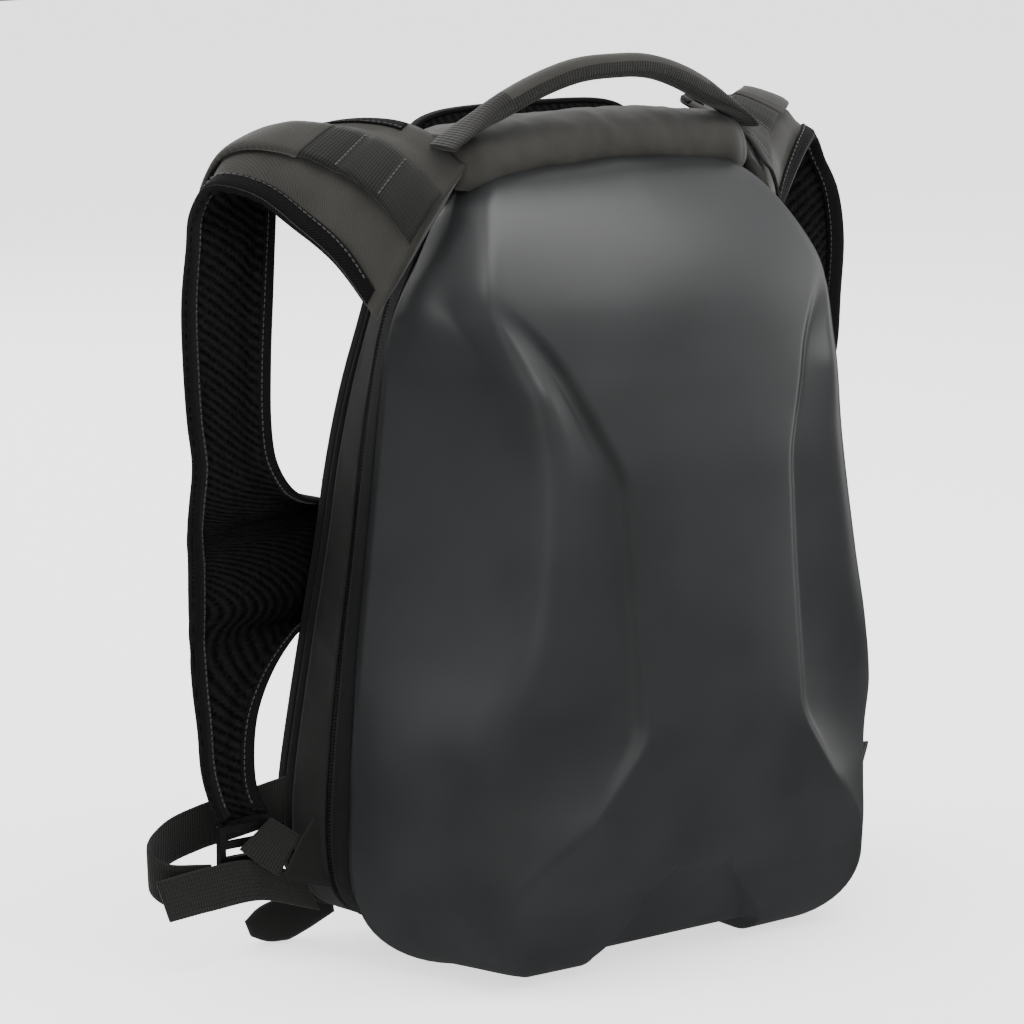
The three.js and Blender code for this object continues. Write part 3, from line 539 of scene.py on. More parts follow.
# Below the first height the panel's points keep to the recess's side; above the second they don't.
ALIGNED_BELOW, FREE_ABOVE = 66, 110
JOINT_REACH, JOINT_PASSES = 8.0, 60
SHELL_WALL = 0.0025


def rim_end(line_points, share):
    """A point on the rim's top or bottom run, from its corner at 0 to the middle at 1."""
    xs, zs = zip(*line_points)
    x = xs[-1] * (1 - share)
    return np.array([x, 0.0, np.interp(x, xs, zs)])


def rim_side(z):
    """A point on the side of the rim."""
    (top_x, top_z), (low_x, low_z) = RIM_TOP[-1], RIM_BOTTOM[-1]
    heights = np.concatenate([[top_z], SHELL_ROWS[:, 0], [low_z]])
    halves = np.concatenate([[top_x], SHELL_ROWS[:, 1], [low_x]])
    return np.array([np.interp(z, heights[::-1], halves[::-1]), 0.0, z])


def running_length(points):
    """The length of a line up to each of its points."""
    return np.concatenate([[0], np.cumsum(np.linalg.norm(np.diff(points, axis=0), axis=1))])


def length_shares(points):
    """How far along its own length each point of a line is."""
    run = running_length(points)
    return run / run[-1]


def soft_step(value, low, high):
    """0 below low, 1 above high and a smooth rise between."""
    t = np.clip((value - low) / (high - low), 0, 1)
    return t * t * (3 - 2 * t)


def level(z):
    """One level section with its height. Near the top the corners melt into one dome."""
    half = half_section(z)
    ease = 0.5 * soft_step(z, DOME_START, DOME_END)
    whole = np.concatenate([half, half[-2::-1] * (-1, 1)])
    for _ in range(DOME_PASSES if ease > 0 else 0):
        whole[1:-1] += ((whole[:-2] + whole[2:]) / 2 - whole[1:-1]) * ease
    half = whole[:len(half)]
    return np.column_stack([half, np.full(len(half), float(z))])


def recess_half(z):
    """Half the recess's width at a height."""
    return float(np.interp(z, (RECESS_FOOT, RECESS_TOP), RECESS_HALVES[::-1]))


def follow_recess(row):
    """Slides the panel's points along a low row, so that some keep to the recess's side."""
    panel = row[-PANEL_POINTS:]
    side = recess_half(panel[-1, 2])
    knots = (panel[0, 0], side + 2, side - RECESS_SOFT - 1, 0)
    # The first points lie beside the recess, the next on its edge and the last within it.
    aligned = np.interp(np.arange(PANEL_POINTS), (0, 8, 15, PANEL_POINTS - 1), knots)
    xs = aligned + (panel[:, 0] - aligned) * soft_step(panel[-1, 2], ALIGNED_BELOW, FREE_ABOVE)
    moved = [np.interp(xs, panel[::-1, 0], panel[::-1, k]) for k in (1, 2)]
    return np.concatenate([row[:-PANEL_POINTS], np.column_stack([xs, *moved])])


def press_recess(p):
    """Moves a point of the shell into the recess, where it lies in front of it."""
    x, y, z = p
    share = np.clip((z - RECESS_FOOT) / (RECESS_TOP - RECESS_FOOT), 0, 1)
    wall = RECESS_WALL[1] + (RECESS_WALL[0] - RECESS_WALL[1]) * share
    wall -= RECESS_TAPER * max(RECESS_FOOT - z, 0)
    weight = soft_step(recess_half(z) - abs(x), 0, RECESS_SOFT)
    weight *= 1 - soft_step(z, RECESS_TOP - 1, RECESS_TOP + 3)
    deep = np.array([x, max(y, -wall), max(z, RECESS_FOOT)])
    return p + (deep - p) * weight


def deck_rows(top):
    """Rows from the rim's top run, over the deck, to just before the highest section."""
    shares = length_shares(top)
    ends = np.array([rim_end(RIM_TOP, s) for s in shares])
    crown = ends[:, 2] + DECK_RISE * shares
    # The two middle points of a curve of four, nearer to the section and nearer to the rim.
    climb = top[:, 2] + (crown - top[:, 2]) * FIRST_CLIMB
    near_top, near_rim = (
        np.column_stack([top[:, 0] * (1 - inward) + ends[:, 0] * inward, top[:, 1] * kept, z])
        for (inward, kept), z in ((NEAR_TOP, climb), (NEAR_RIM, crown))
    )
    rows = []
    for t in np.linspace(0, 1, DECK_ROWS, endpoint=False):
        row = (1 - t)**3 * ends + 3 * t * (1 - t)**2 * near_rim + 3 * t * t * (1 - t) * near_top + t**3 * top
        row[0] = rim_side(RIM_TOP[-1][1] + (SECTION_TOP - RIM_TOP[-1][1]) * t)
        rows.append(row)
    return rows


def low_rim(step):
    """A point on the rim's side, some steps below the lowest section."""
    return rim_side(SECTION_LOW + (RIM_BOTTOM[-1][1] - SECTION_LOW) * step / LOW_STEPS)


def sole_rows(low):
    """Rows from just below the lowest section, under the foot, to the rim's bottom run."""
    backs = np.minimum(low[:, 1] * SOLE_INSET, -SOLE_BACK - 2)
    sole = np.column_stack([low[:, 0] * SOLE_INSET, backs, low[:, 2] * 0])
    rows = []
    for k, angle in enumerate(np.linspace(0, math.pi / 2, SOLE_TURN + 1)[1:]):
        row = low + (sole - low) * (1 - math.cos(angle))
        row[:, 2] = low[0, 2] * (1 - math.sin(angle))
        row[0] = low_rim(k + 1)
        rows.append(row)
    edge = np.column_stack([sole[:, 0] * SOLE_EDGE, np.full(len(sole), -SOLE_BACK), sole[:, 2]])
    bottom = np.array([rim_end(RIM_BOTTOM, s) for s in length_shares(low)])
    for k, t in enumerate(np.linspace(0, 1, SOLE_ROWS)):
        row = edge + (bottom - edge) * t
        row[0] = low_rim(SOLE_TURN + 1 + k / 2.7)
        rows.append(row)
    return rows


def shell_rows():
    """All rows of half the shell, in order."""
    body = [level(z) for z in np.linspace(SECTION_TOP, SECTION_LOW, SECTION_COUNT)]
    return deck_rows(body[0]) + body + sole_rows(body[-1])


def eased_joint(rows):
    """Evens out the turn from the deck to the front, and leaves the rim as it is."""
    grid = np.array(rows)
    rim = grid[:, 0].copy()
    near = np.exp(-((np.arange(len(grid)) - DECK_ROWS) / JOINT_REACH) ** 2)[1:-1, None, None]
    for _ in range(JOINT_PASSES):
        grid[1:-1] += ((grid[:-2] + grid[2:]) / 2 - grid[1:-1]) * near * 0.5
    grid[:, 0] = rim
    return grid


half_rows = [follow_recess(row) for row in eased_joint(shell_rows())]
shell_grid = np.array([np.concatenate([row * (-1, 1, 1), row[::-1][1:]]) for row in half_rows])
shell_points = np.apply_along_axis(press_recess, 1, shell_grid.reshape(-1, 3))
shell = add_mesh("front_shell", [at(*p) for p in shell_points], grid_faces(*shell_grid.shape[:2]))
face_outward(shell)
wall = shell.modifiers.new("wall", "SOLIDIFY")
wall.thickness = SHELL_WALL
wall.offset = -1
dress(shell, shell_abs, "shell", "shell")
print("shell faces", len(shell.data.polygons))

# %% [markdown]
# The pack's outline behind the rim changes from the shell's shape to that of the back. The tape,
# the zip, the side wall and the piping are all swept along it, each with its own cross section.

# %% The outline behind the rim
# Height, half width at the rim, and half width at the back edge.
OUTLINE_ROWS = np.array([
    (446.0, 0, 0), (445.6, 50, 46), (442.9, 70, 66), (437.1, 84, 78), (418.8, 99, 90),
    (401.0, 112, 97), (380.0, 124, 103), (358.1, 134, 110), (319.8, 140, 124), (276.1, 145, 135),
    (231.9, 150, 142), (182.0, 156, 153), (131.1, 160, 163), (96.8, 162, 169), (69.1, 163, 170),
    (45.0, 161, 165), (32.1, 154, 157), (23.2, 143, 146), (20.1, 120, 122), (20.1, 60, 60), (20.1, 0, 0),
], float)
BACK_FRONT = 54.3
BODY_LIFT = 16.0
SHELL_HEIGHT = 446.0
# The lift starts at this share of the height, and what raises the top at this height.
LIFT_START, TOP_START = 0.839, 419.0
# Each of two rounds cuts this share off the corners of the outline.
CORNER_CUT = 0.25


def outline(depth, grow=0.0, raise_top=0.0, count=360):
    """The closed outline at a depth behind the rim, evenly spaced, as x, y and z."""
    rearward = min(max(depth / BACK_FRONT, 0), 1)
    z, rim, back_half = OUTLINE_ROWS.T
    lift = BODY_LIFT * rearward * soft_step(z / SHELL_HEIGHT, LIFT_START, 1.0)
    half = np.column_stack([rim + (back_half - rim) * rearward, z + lift])
    loop = np.concatenate([half, half[-2:0:-1] * (-1, 1)])
    for _ in range(2):
        ahead = np.roll(loop, -1, 0)
        cut = (loop * (1 - share) + ahead * share for share in (CORNER_CUT, 1 - CORNER_CUT))
        loop = np.stack(list(cut), 1).reshape(-1, 2)
    closed = np.concatenate([loop, loop[:1]])
    run = length_shares(closed)
    even = np.linspace(0, 1, count, endpoint=False)
    loop = np.column_stack([np.interp(even, run, closed[:, k]) for k in (0, 1)])
    tangent = np.roll(loop, -1, 0) - np.roll(loop, 1, 0)
    tangent /= np.linalg.norm(tangent, axis=1)[:, None]
    loop = loop + np.column_stack([-tangent[:, 1], tangent[:, 0]]) * grow
    top = raise_top * soft_step(loop[:, 1], TOP_START, SHELL_HEIGHT)
    return np.column_stack([loop[:, 0], np.full(count, float(depth)), loop[:, 1] + top])


def swept_hoop(name, profile, count=360, raise_top=0.0):
    """A closed hoop along the outline. profile is a closed loop of (depth, grow) pairs."""
    rings = np.stack([outline(depth, grow, raise_top, count) for depth, grow in profile], 1)
    across = running_length(profile) * MM
    uvs = [(u, v) for u in running_length(rings[:, 0]) * MM for v in across]
    points = [at(*p) for p in rings.reshape(-1, 3)]
    hoop = add_mesh(name, points, grid_faces(count, len(profile), True, True), uvs)
    return face_outward(hoop)


def rounded_band(front, rear, outer, inner, crown=0.0, parts=8):
    """The cross section of a band between two depths, with a crowned outer side."""
    shares = np.linspace(0, 1, parts)
    outside = [(front + (rear - front) * t, outer + crown * (1 - (2 * t - 1) ** 4)) for t in shares]
    return outside + [(rear, inner), (front, inner)]


# %% [markdown]
# Behind the rim comes a herringbone band, then the zip in its groove, the twill side wall, and a
# piping cord in herringbone tape. The zip's coil is a row of small nylon turns, 2 mm apart.

# %% Band, zip, side wall and piping
WALL_MIDDLE_Z = 0.22
WRINKLE_SIZE = 0.8
# Depth behind the rim, place out from the outline, and the two radii.
PIPING_DEPTH, PIPING_GROW, PIPING_DEEP, PIPING_TALL = 51.3, -1.0, 2.7, 2.4
rim_profile = rounded_band(0.5, 15.5, -0.3, -2.4, 0.5)
dress(swept_hoop("rim_tape", rim_profile), black_tape, "tape", "rim_band")
side_wall = swept_hoop("side_wall", rounded_band(20.5, 47.5, -0.2, -1.9, 0.5, 14), 420)
rng = np.random.default_rng(7)
wrinkles = [
    (rng.uniform(9, 34), rng.uniform(0, FULL_TURN), rng.uniform(0.15, 0.45)) for _ in range(9)
]
for v in side_wall.data.vertices:
    turn = math.atan2(v.co.z - WALL_MIDDLE_Z, v.co.x)
    swell = sum(size * math.sin(rate * turn + phase + v.co.y * 40) for rate, phase, size in wrinkles)
    behind = (v.co.y - RIM_Y) / MM
    inward = abs(swell) * soft_step(behind, 20, 26) * (1 - soft_step(behind, 42, 47)) * MM * WRINKLE_SIZE
    v.co.x -= math.cos(turn) * inward
    v.co.z -= math.sin(turn) * inward
dress(side_wall, gusset_twill, "cloth", "gusset")
cord_angles = np.linspace(0, 2 * math.pi, 12, endpoint=False)
piping_profile = [
    (PIPING_DEPTH + PIPING_DEEP * math.cos(a), PIPING_GROW + PIPING_TALL * math.sin(a)) for a in cord_angles
]
dress(swept_hoop("back_piping", piping_profile), grey_tape, "tape", "piping")
dress(swept_hoop("zip_tape", rounded_band(16.1, 19.9, -1.6, -3.2)), black_tape, "lining", "zip")
print("hoops", len(side_wall.data.vertices), "points in the side wall")

# %% Zip coil
COIL_PITCH = 2.0
COIL_HALF = 0.62
COIL_DEPTH, COIL_GROW, COIL_PATH = 18.0, -1.1, 1400
COIL_SHAPE = [(-1.5, -0.35), (-1.0, 0.55), (1.0, 0.55), (1.5, -0.35)]


def read_at(run, values, place):
    """Rows of values, read between their points at a place along the running length."""
    return np.array([np.interp(place, run, column) for column in values.T])


def band_faces(base, side=4):
    """The faces of the band between one ring of side points and the next."""
    return [
        (base + j, base + side + j, base + side + (j + 1) % side, base + (j + 1) % side) for j in range(side)
    ]


def coil_turns():
    """One mesh of small rounded turns along the middle of the zip."""
    path = outline(COIL_DEPTH, COIL_GROW, 0.0, COIL_PATH)
    closed = np.concatenate([path, path[:1]])
    run = length_shares(closed)
    turns = int(running_length(closed)[-1] / COIL_PITCH)
    points, faces = [], []
    for k in range(turns):
        s = (k + 0.5) / turns
        here, ahead = (read_at(run, closed, q) for q in (s, min(s + 0.0005, 1)))
        along = (ahead - here) / np.linalg.norm(ahead - here)
        out = np.array([-along[2], 0, along[0]])
        base = len(points)
        for side in (-COIL_HALF, COIL_HALF):
            for depth, rise in COIL_SHAPE:
                points.append(at(*(here + along * side + out * rise + np.array([0, depth, 0]))))
        faces += [(base, base + 1, base + 2, base + 3), (base + 7, base + 6, base + 5, base + 4)]
        faces += band_faces(base)
    return face_outward(add_mesh("zip_coil", points, faces, smooth=False))


coil = dress(coil_turns(), acetal, "plastic")
print("zip turns", len(coil.data.polygons) // 6)

# %% [markdown]
# Straps, webbing, tabs and flaps are all strips: two edge curves with rows of points between.
# The table gives the strap's outer and inner edge at each row, from its root on the shell's
# upper corner, over the shoulder, round the wing at chest height, to its lower end.

# %% Strips
STRAP_ROWS = np.array([
    ((138, 5, 364), (97, -23, 448)), ((158, 16, 396), (98, 9, 462)), ((177, 26, 415), (103, 36, 467)),
    ((194, 34, 430), (116, 52, 467)), ((207, 42, 436), (132, 60, 464)), ((217, 50, 436), (149, 68, 453)),
    ((226, 53, 422), (160, 70, 436)), ((232, 48, 403), (167, 62, 415)), ((236, 47, 376), (175, 53, 378)),
    ((235, 48, 340), (179, 50, 338)), ((233, 48, 310), (179, 50, 302)), ((229, 50, 285), (176, 50, 284)),
    ((231, 50, 265), (167, 53, 270)), ((231, 52, 252), (149, 64, 258)), ((230, 54, 242), (117, 79, 249)),
    ((229, 55, 229), (77, 81, 243)), ((228.5, 56, 216), (66, 81, 216)), ((228.5, 56, 203), (77, 81, 190)),
    ((229, 55, 190), (121, 79, 184)), ((229.5, 54, 176), (155, 60, 181)), ((229.5, 52, 158), (178, 52, 164)),
    ((228, 50, 136), (190, 50, 142)), ((226, 50, 112), (193, 50, 118)), ((221, 50, 94), (191, 50, 98)),
    ((215, 50, 80), (184, 50, 83)),
], float)


def curve_through(points, count):
    """Evenly numbered stations on a smooth curve through the points (centripetal)."""
    ends = np.concatenate([[2 * points[0] - points[1]], points, [2 * points[-1] - points[-2]]])
    made = []
    for t in np.linspace(0, len(points) - 1, count):
        i = min(int(t), len(points) - 2)
        p0, p1, p2, p3 = ends[i:i + 4]
        hops = ((p0, p1), (p1, p2), (p2, p3))
        d0, d1, d2 = (max(np.linalg.norm(b - a), 1e-6) ** 0.5 for a, b in hops)
        m1 = ((p1 - p0) / d0 - (p2 - p0) / (d0 + d1) + (p2 - p1) / d1) * d1
        m2 = ((p2 - p1) / d1 - (p3 - p1) / (d1 + d2) + (p3 - p2) / d2) * d1
        made.append(hermite(t - i, p1, p2, m1, m2))
    return np.array(made)


class Strip:
    """A surface between two edge curves, with heights over it towards its outer face."""

    def __init__(self, rows, count):
        rows = np.asarray(rows, float)
        self.count = count
        self.outer = curve_through(rows[:, 0], count)
        self.inner = curve_through(rows[:, 1], count)
        along = np.gradient(self.outer + self.inner, axis=0)
        face = np.cross(self.outer - self.inner, along)
        self.face = face / np.linalg.norm(face, axis=1)[:, None]
        self.width = np.linalg.norm(self.outer - self.inner, axis=1)
        self.run = running_length((self.outer + self.inner) / 2)

    def point(self, i, share, height):
        return self.inner[i] + (self.outer[i] - self.inner[i]) * share + self.face[i] * height

    def solid(self, name, ring, first=0, last=None):
        """A closed piece. ring gives the (share, height) pairs round it at a station."""
        points, uvs = [], []
        for i in range(first, self.count if last is None else last + 1):
            for share, height in ring(i):
                points.append(at(*self.point(i, share, height)))
                uvs.append((self.run[i] * MM, share * self.width[i] * MM))
        return closed_tube(name, points, uvs, len(ring(first)))


def two_sided(shares, heights):
    """A ring of (share, height) pairs over the top and back underneath, the same both ways."""
    over = list(zip(shares, heights))
    return over + [(s, -h) for s, h in over[::-1]]


STRAP_STATIONS = 220
strap_strip = Strip(STRAP_ROWS, STRAP_STATIONS)
STRAP_CROWN = 6.0
EDGE_HALF = 2.2
PAD_HALF = 6.2
PAD_START, PAD_FULL = 11, 27
GROOVE_DEPTH, GROOVE_WIDTH = 0.7, 1.6


def strap_crown(share):
    return STRAP_CROWN * (1 - (2 * share - 1) ** 2)


def pad_half(share, width):
    """Half the strap's thickness: thin and flat in the binding, then full over the foam."""
    edge = min(share, 1 - share) * width
    groove = GROOVE_DEPTH * math.exp(-((edge - PAD_START) / GROOVE_WIDTH) ** 2)
    return EDGE_HALF - groove + (PAD_HALF - EDGE_HALF) * soft_step(edge, PAD_START, PAD_FULL)


widths = strap_strip.width
print("strap length", round(strap_strip.run[-1]), "mm, width", round(widths.min()), "to", round(widths.max()))

# %% [markdown]
# Sewn threads show as short dashes. Each is a small flattened bead that lies on the cloth, and a
# seam is a row of them at an even pitch along a path.

# %% Seams
thread_nylon, tree, shader = new_material("thread_nylon", Roughness=0.55, Sheen_Weight=0.3)
twist = speckle(tree, place_in(tree, "Object"), 1200.0)
finish_surface(tree, shader, two_tone(tree, twist, "#1d1d1b", "#3a3935"), twist, 0.0001, 0.6)
# Place along a dash and thickness there, as shares.
DASH_SHAPE = ((-0.5, 0.35), (-0.28, 1.0), (0.28, 1.0), (0.5, 0.35))


def seam(name, path, faces_up, pitch=3.4, length=2.5, width=0.8, rise=0.45):
    """Thread dashes along a path of points in millimetres, each lying on its surface."""
    path, faces_up = np.asarray(path, float), np.asarray(faces_up, float)
    run = running_length(path)
    points, faces = [], []
    for k in range(int(run[-1] / pitch)):
        s = (k + 0.5) * pitch
        here, ahead, up = read_at(run, path, s), read_at(run, path, s + 0.4), read_at(run, faces_up, s)
        along = (ahead - here) / max(np.linalg.norm(ahead - here), 1e-6)
        side = np.cross(along, up)
        side /= max(np.linalg.norm(side), 1e-6)
        base = len(points)
        for reach, scale in DASH_SHAPE:
            for a in (0, math.pi / 2, math.pi, 3 * math.pi / 2):
                bit = side * math.cos(a) * width / 2 + up * math.sin(a) * rise
                points.append(at(*(here + along * reach * length + bit * scale)))
        faces += [(base, base + 1, base + 2, base + 3), (base + 15, base + 14, base + 13, base + 12)]
        for r in range(len(DASH_SHAPE) - 1):
            faces += band_faces(base + 4 * r)
    return face_outward(add_mesh(name, points, faces))


# %% [markdown]
# No sewn cloth is quite even. A slow noise in space gives the straps and the yoke shallow dents
# and swellings of about a millimetre, the same on every run.

# %% Dents in the cloth
def dent(piece, depth, spread, fade=None):
    """Moves the points along their normals by a slow noise. fade gives each point's share."""
    normals = [v.normal.copy() for v in piece.data.vertices]
    for i, v in enumerate(piece.data.vertices):
        share = 1.0 if fade is None else fade[i]
        wave = noise.fractal(v.co * (1000 / spread), 0.6, 2.1, 3)
        v.co += normals[i] * (wave * depth * share * MM)


# %% [markdown]
# A padded piece is blown up a little, as foam does to the cloth round it. The cloth solver does
# that on the piece's own grid, with its sewn edges held, so the weave's uv stays. Each point may
# move a few millimetres at most, and the result is applied to the mesh.

# %% Plumping by simulation
CLOTH_FRAMES = 20
CLOTH_STIFFNESS = 12.0


def plump(piece, held, cap, pressure=4.0):
    """Runs the cloth solver on a closed piece. held gives the weight that pins each point."""
    start = np.array([v.co for v in piece.data.vertices])
    pins = piece.vertex_groups.new(name="held")
    for i, weight in enumerate(held):
        pins.add([i], float(weight), "REPLACE")
    cloth = piece.modifiers.new("cloth", "CLOTH")
    settings = cloth.settings
    settings.vertex_group_mass = "held"
    settings.use_pressure = True
    settings.uniform_pressure_force = pressure
    settings.effector_weights.gravity = 0
    settings.tension_stiffness = settings.compression_stiffness = CLOTH_STIFFNESS
    settings.bending_stiffness = 0.6
    settings.quality = 6
    scene = bpy.context.scene
    for frame_number in range(1, CLOTH_FRAMES + 1):
        scene.frame_set(frame_number)
    posed = piece.evaluated_get(bpy.context.evaluated_depsgraph_get())
    end = np.array([v.co for v in posed.data.vertices])
    piece.modifiers.remove(cloth)
    piece.vertex_groups.clear()
    scene.frame_set(1)
    move = np.nan_to_num(end - start)
    far = np.linalg.norm(move, axis=1)
    scale = np.minimum(1, cap / np.maximum(far, 1e-9))
    piece.data.vertices.foreach_set("co", (start + move * scale[:, None]).astype(np.float32).ravel())
    piece.data.update()
    print(piece.name, "plumped by", round(float(np.minimum(far, cap).max()) * 1000, 1), "mm at most")


# %% [markdown]
# The strap is foam between twill and spacer mesh, closed all round with a folded tape. It is made
# once, on the right, and mirrored. The binding is a separate strip wrapped round each edge.

# %% Shoulder straps
PAD_COLUMNS = np.concatenate([np.linspace(0, 0.2, 7), np.linspace(0.28, 0.72, 7), np.linspace(0.8, 1, 7)])


def strap_ring(i):
    """The strap's cross section at a station: over its outer face and back along the inner one."""
    halves = [(s, pad_half(s, strap_strip.width[i])) for s in PAD_COLUMNS]
    return [(s, strap_crown(s) + half) for s, half in halves] + [
        (s, strap_crown(s) - half) for s, half in halves[::-1]
    ]


strap = strap_strip.solid("strap_right", strap_ring)
strap.data.materials.append(strap_twill)
strap.data.materials.append(air_mesh)
ring_size = 2 * len(PAD_COLUMNS)
for face in strap.data.polygons:
    columns = [v % ring_size for v in face.vertices]
    if len(columns) == 4 and min(columns) >= len(PAD_COLUMNS) - 1 and max(columns) - min(columns) < 3:
        face.material_index = 1
held = []
for i in range(STRAP_STATIONS):
    for s, _ in strap_ring(i):
        edge = min(s, 1 - s) * strap_strip.width[i]
        held.append(1.0 if edge < PAD_START + 0.5 or i < 6 or i > STRAP_STATIONS - 4 else 0.0)
plump(strap, held, cap=0.0028)
dent(strap, 1.5, 40.0, [1 - h for h in held])


BINDING_LIFT, SEAM_LIFT = 0.7, 1.3
BINDING_THICKNESS = 0.0008


def over_pad(i, s, way, lift):
    """A point over the strap's outer face, or with way -1 under its inner one."""
    half = pad_half(min(max(s, 0), 1), strap_strip.width[i])
    return strap_strip.point(i, s, strap_crown(s) + way * (half + lift))


def binding(name, outer_side, first, width):
    """A tape folded round one edge of the strap."""
    last = STRAP_STATIONS - 3
    reaches = [width, width * 0.7, width * 0.4, width * 0.15]
    ways = [(d, 1) for d in reaches] + [(-0.5, 0)] + [(d, -1) for d in reaches[::-1]]
    points, uvs = [], []
    for i in range(first, last + 1):
        shares = [(reach / strap_strip.width[i], way) for reach, way in ways]
        ring = np.array([over_pad(i, 1 - s if outer_side else s, way, BINDING_LIFT) for s, way in shares])
        points += [at(*p) for p in ring]
        uvs += [(strap_strip.run[i] * MM, span * MM) for span in running_length(ring)]
    tape = add_mesh(name, points, grid_faces(last - first + 1, len(ways)), uvs)
    fold = tape.modifiers.new("fold", "SOLIDIFY")
    fold.thickness = BINDING_THICKNESS
    fold.offset = 0
    return tape


# On the inner edge the tape starts behind the handle, where the strap leaves the yoke.
INNER_START = 15
bindings = [
    binding("strap_binding_outer", True, 2, 10.0), binding("strap_binding_inner", False, INNER_START, 7.0),
]
seam_runs = []
for side, sign, inset, first in (("outer", 1, 8.4, 4), ("inner", 0, 5.6, INNER_START)):
    stations = list(range(first, STRAP_STATIONS - 4, 2))
    for face_name, way in (("top", 1), ("under", -1)):
        shares = [sign + (1 - 2 * sign) * inset / strap_strip.width[i] for i in stations]
        path = [over_pad(i, s, way, SEAM_LIFT) for i, s in zip(stations, shares)]
        seam_runs.append(seam(f"strap_seam_{side}_{face_name}", path, strap_strip.face[stations]))

left_strap = mirror_of(strap, "strap_left")
for piece, old in ((strap, "strap_right"), (left_strap, "strap_left")):
    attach(piece, "root")
    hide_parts(old)
for piece in bindings:
    dress_pair(piece, piece.name, black_tape, "tape")
for piece in seam_runs:
    dress_pair(piece, piece.name, thread_nylon, "webbing")

# %% [markdown]
# A stout webbing is sewn along the top of each strap. Bars of stitching tack it down and leave
# loops between them. Past the last bar it turns into a plain twill sleeve.

# %% Webbing on the strap
WEB_SHARES = np.array([
    (0.12, 0.20, 0.53), (1, 0.24, 0.57), (2, 0.26, 0.61), (3, 0.29, 0.66), (4, 0.32, 0.69),
    (5, 0.33, 0.70), (6, 0.33, 0.69), (7, 0.33, 0.68), (8, 0.32, 0.68), (9, 0.32, 0.68),
])
STATIONS_PER_ROW = (STRAP_STATIONS - 1) / (len(STRAP_ROWS) - 1)
WEB_END_ROW = 3.3
STITCH_BARS = (0.95, 2.15, 3.2)
# The webbing's height over the pad, and how much more between the bars and on the sleeve.
WEB_LIFT, LOOP_LIFT, SLEEVE_LIFT = 2.2, 1.4, 0.9
LOOP_REACH = 0.35


def web_share(i, t):
    row = i / STATIONS_PER_ROW
    start, end = (np.interp(row, WEB_SHARES[:, 0], WEB_SHARES[:, k]) for k in (1, 2))
    return start + (end - start) * t


def web_height(i, s, lift):
    """Height over the strap, raised a little between the stitch bars."""
    row = i / STATIONS_PER_ROW
    near = min(abs(row - bar) for bar in STITCH_BARS)
    loose = LOOP_LIFT * soft_step(near, 0.0, LOOP_REACH) if row < STITCH_BARS[-1] else SLEEVE_LIFT
    return strap_crown(s) + pad_half(s, strap_strip.width[i]) + WEB_LIFT + loose + lift


def sewn_web(name, first_row, last_row, thickness, widen=0.0):
    """A strip of webbing on the strap's outer face, between two rows."""
    across = np.linspace(0, 1, 9)

    def ring(i):
        pairs = []
        for lift, order in ((thickness, across), (0.0, across[::-1])):
            for t in order:
                s = web_share(i, 0.5 + (t - 0.5) * (1 + widen))
                pairs.append((s, web_height(i, s, lift - 0.5 * abs(2 * t - 1) ** 6)))
        return pairs

    first, last = round(first_row * STATIONS_PER_ROW), round(last_row * STATIONS_PER_ROW)
    return strap_strip.solid(name, ring, first, last)


shoulder_web = sewn_web("shoulder_web_right", 0.04, WEB_END_ROW, 1.7)
sleeve = sewn_web("strap_sleeve", WEB_END_ROW - 0.25, 9, 2.6, 0.06)
bar_threads = []
for k, bar in enumerate(STITCH_BARS):
    i = round(bar * STATIONS_PER_ROW)
    shares = [web_share(i, t) for t in np.linspace(0.03, 0.97, 12)]
    path = [strap_strip.point(i, s, web_height(i, s, 1.75)) for s in shares]
    faces_up = [strap_strip.face[i]] * len(path)
    bar_threads.append(seam(f"stitch_bar_{k}", path, faces_up, pitch=2.6, length=2.2, width=0.9))
dress_pair(shoulder_web, "shoulder_web", webbing_cloth, "webbing", True)
dress_pair(sleeve, "strap_sleeve", strap_twill, "cloth")
for piece in bar_threads:
    dress_pair(piece, piece.name, thread_nylon, "webbing")
print("strap pieces", 2 * (2 + len(bindings) + len(seam_runs) + len(bar_threads)))

# %% [markdown]
# Loose webbing keeps its width and only bends along its length. Each run is a route of middles
# with the direction across the web, as one would note it down from the real bag.

# %% Loose webbing
WEB_WIDTH = 26.0
WEB_THICKNESS = 1.7
WEB_ACROSS = (0, 0.03, 0.12, 0.5, 0.88, 0.97, 1)
LOWER_WEB = [
    ((195.5, 44.6, 74), (-23, 0, 16)), ((189, 38.5, 68), (-18, 0, 20)), ((181, 31.8, 61.5), (-14, 0, 20)),
]
TAIL = [
    ((166, 33.5, 38), (8, 2, 18)), ((176, 36.5, 41), (8, 2, 18)), ((196, 42.3, 47.5), (8, 0, 25)),
    ((228, 42.8, 47.5), (5, 0, 27)), ((257, 44, 45), (10, 0, 29)),
]
WAIST_WEB = [
    ((162, 50.5, 90), (0, 0, 1)), ((173.8, 57, 86), (0, 0, 1)), ((190, 66, 80), (0, 0, 1)),
    ((215, 71, 75), (0, 0, 1)), ((240, 69, 69), (0, 0, 1)), ((256, 60, 60), (1, 0, 25)),
    ((250, 51.5, 52), (2, 0, 23)), ((230, 46.2, 49), (4, 0, 24)), ((222, 45.2, 48.2), (5, 0, 25)),
]


def web_strip(name, route, count):
    """Webbing of one width along a route, with soft edges."""
    rows = []
    for middle, across in route:
        half = np.array(across, float) / np.linalg.norm(across) * WEB_WIDTH / 2
        rows.append((np.array(middle) - half, np.array(middle) + half))
    ring = two_sided(WEB_ACROSS, [h * WEB_THICKNESS / 2 for h in (0.25, 0.7, 1, 1, 1, 0.7, 0.25)])
    return Strip(rows, count).solid(name, lambda i: ring)


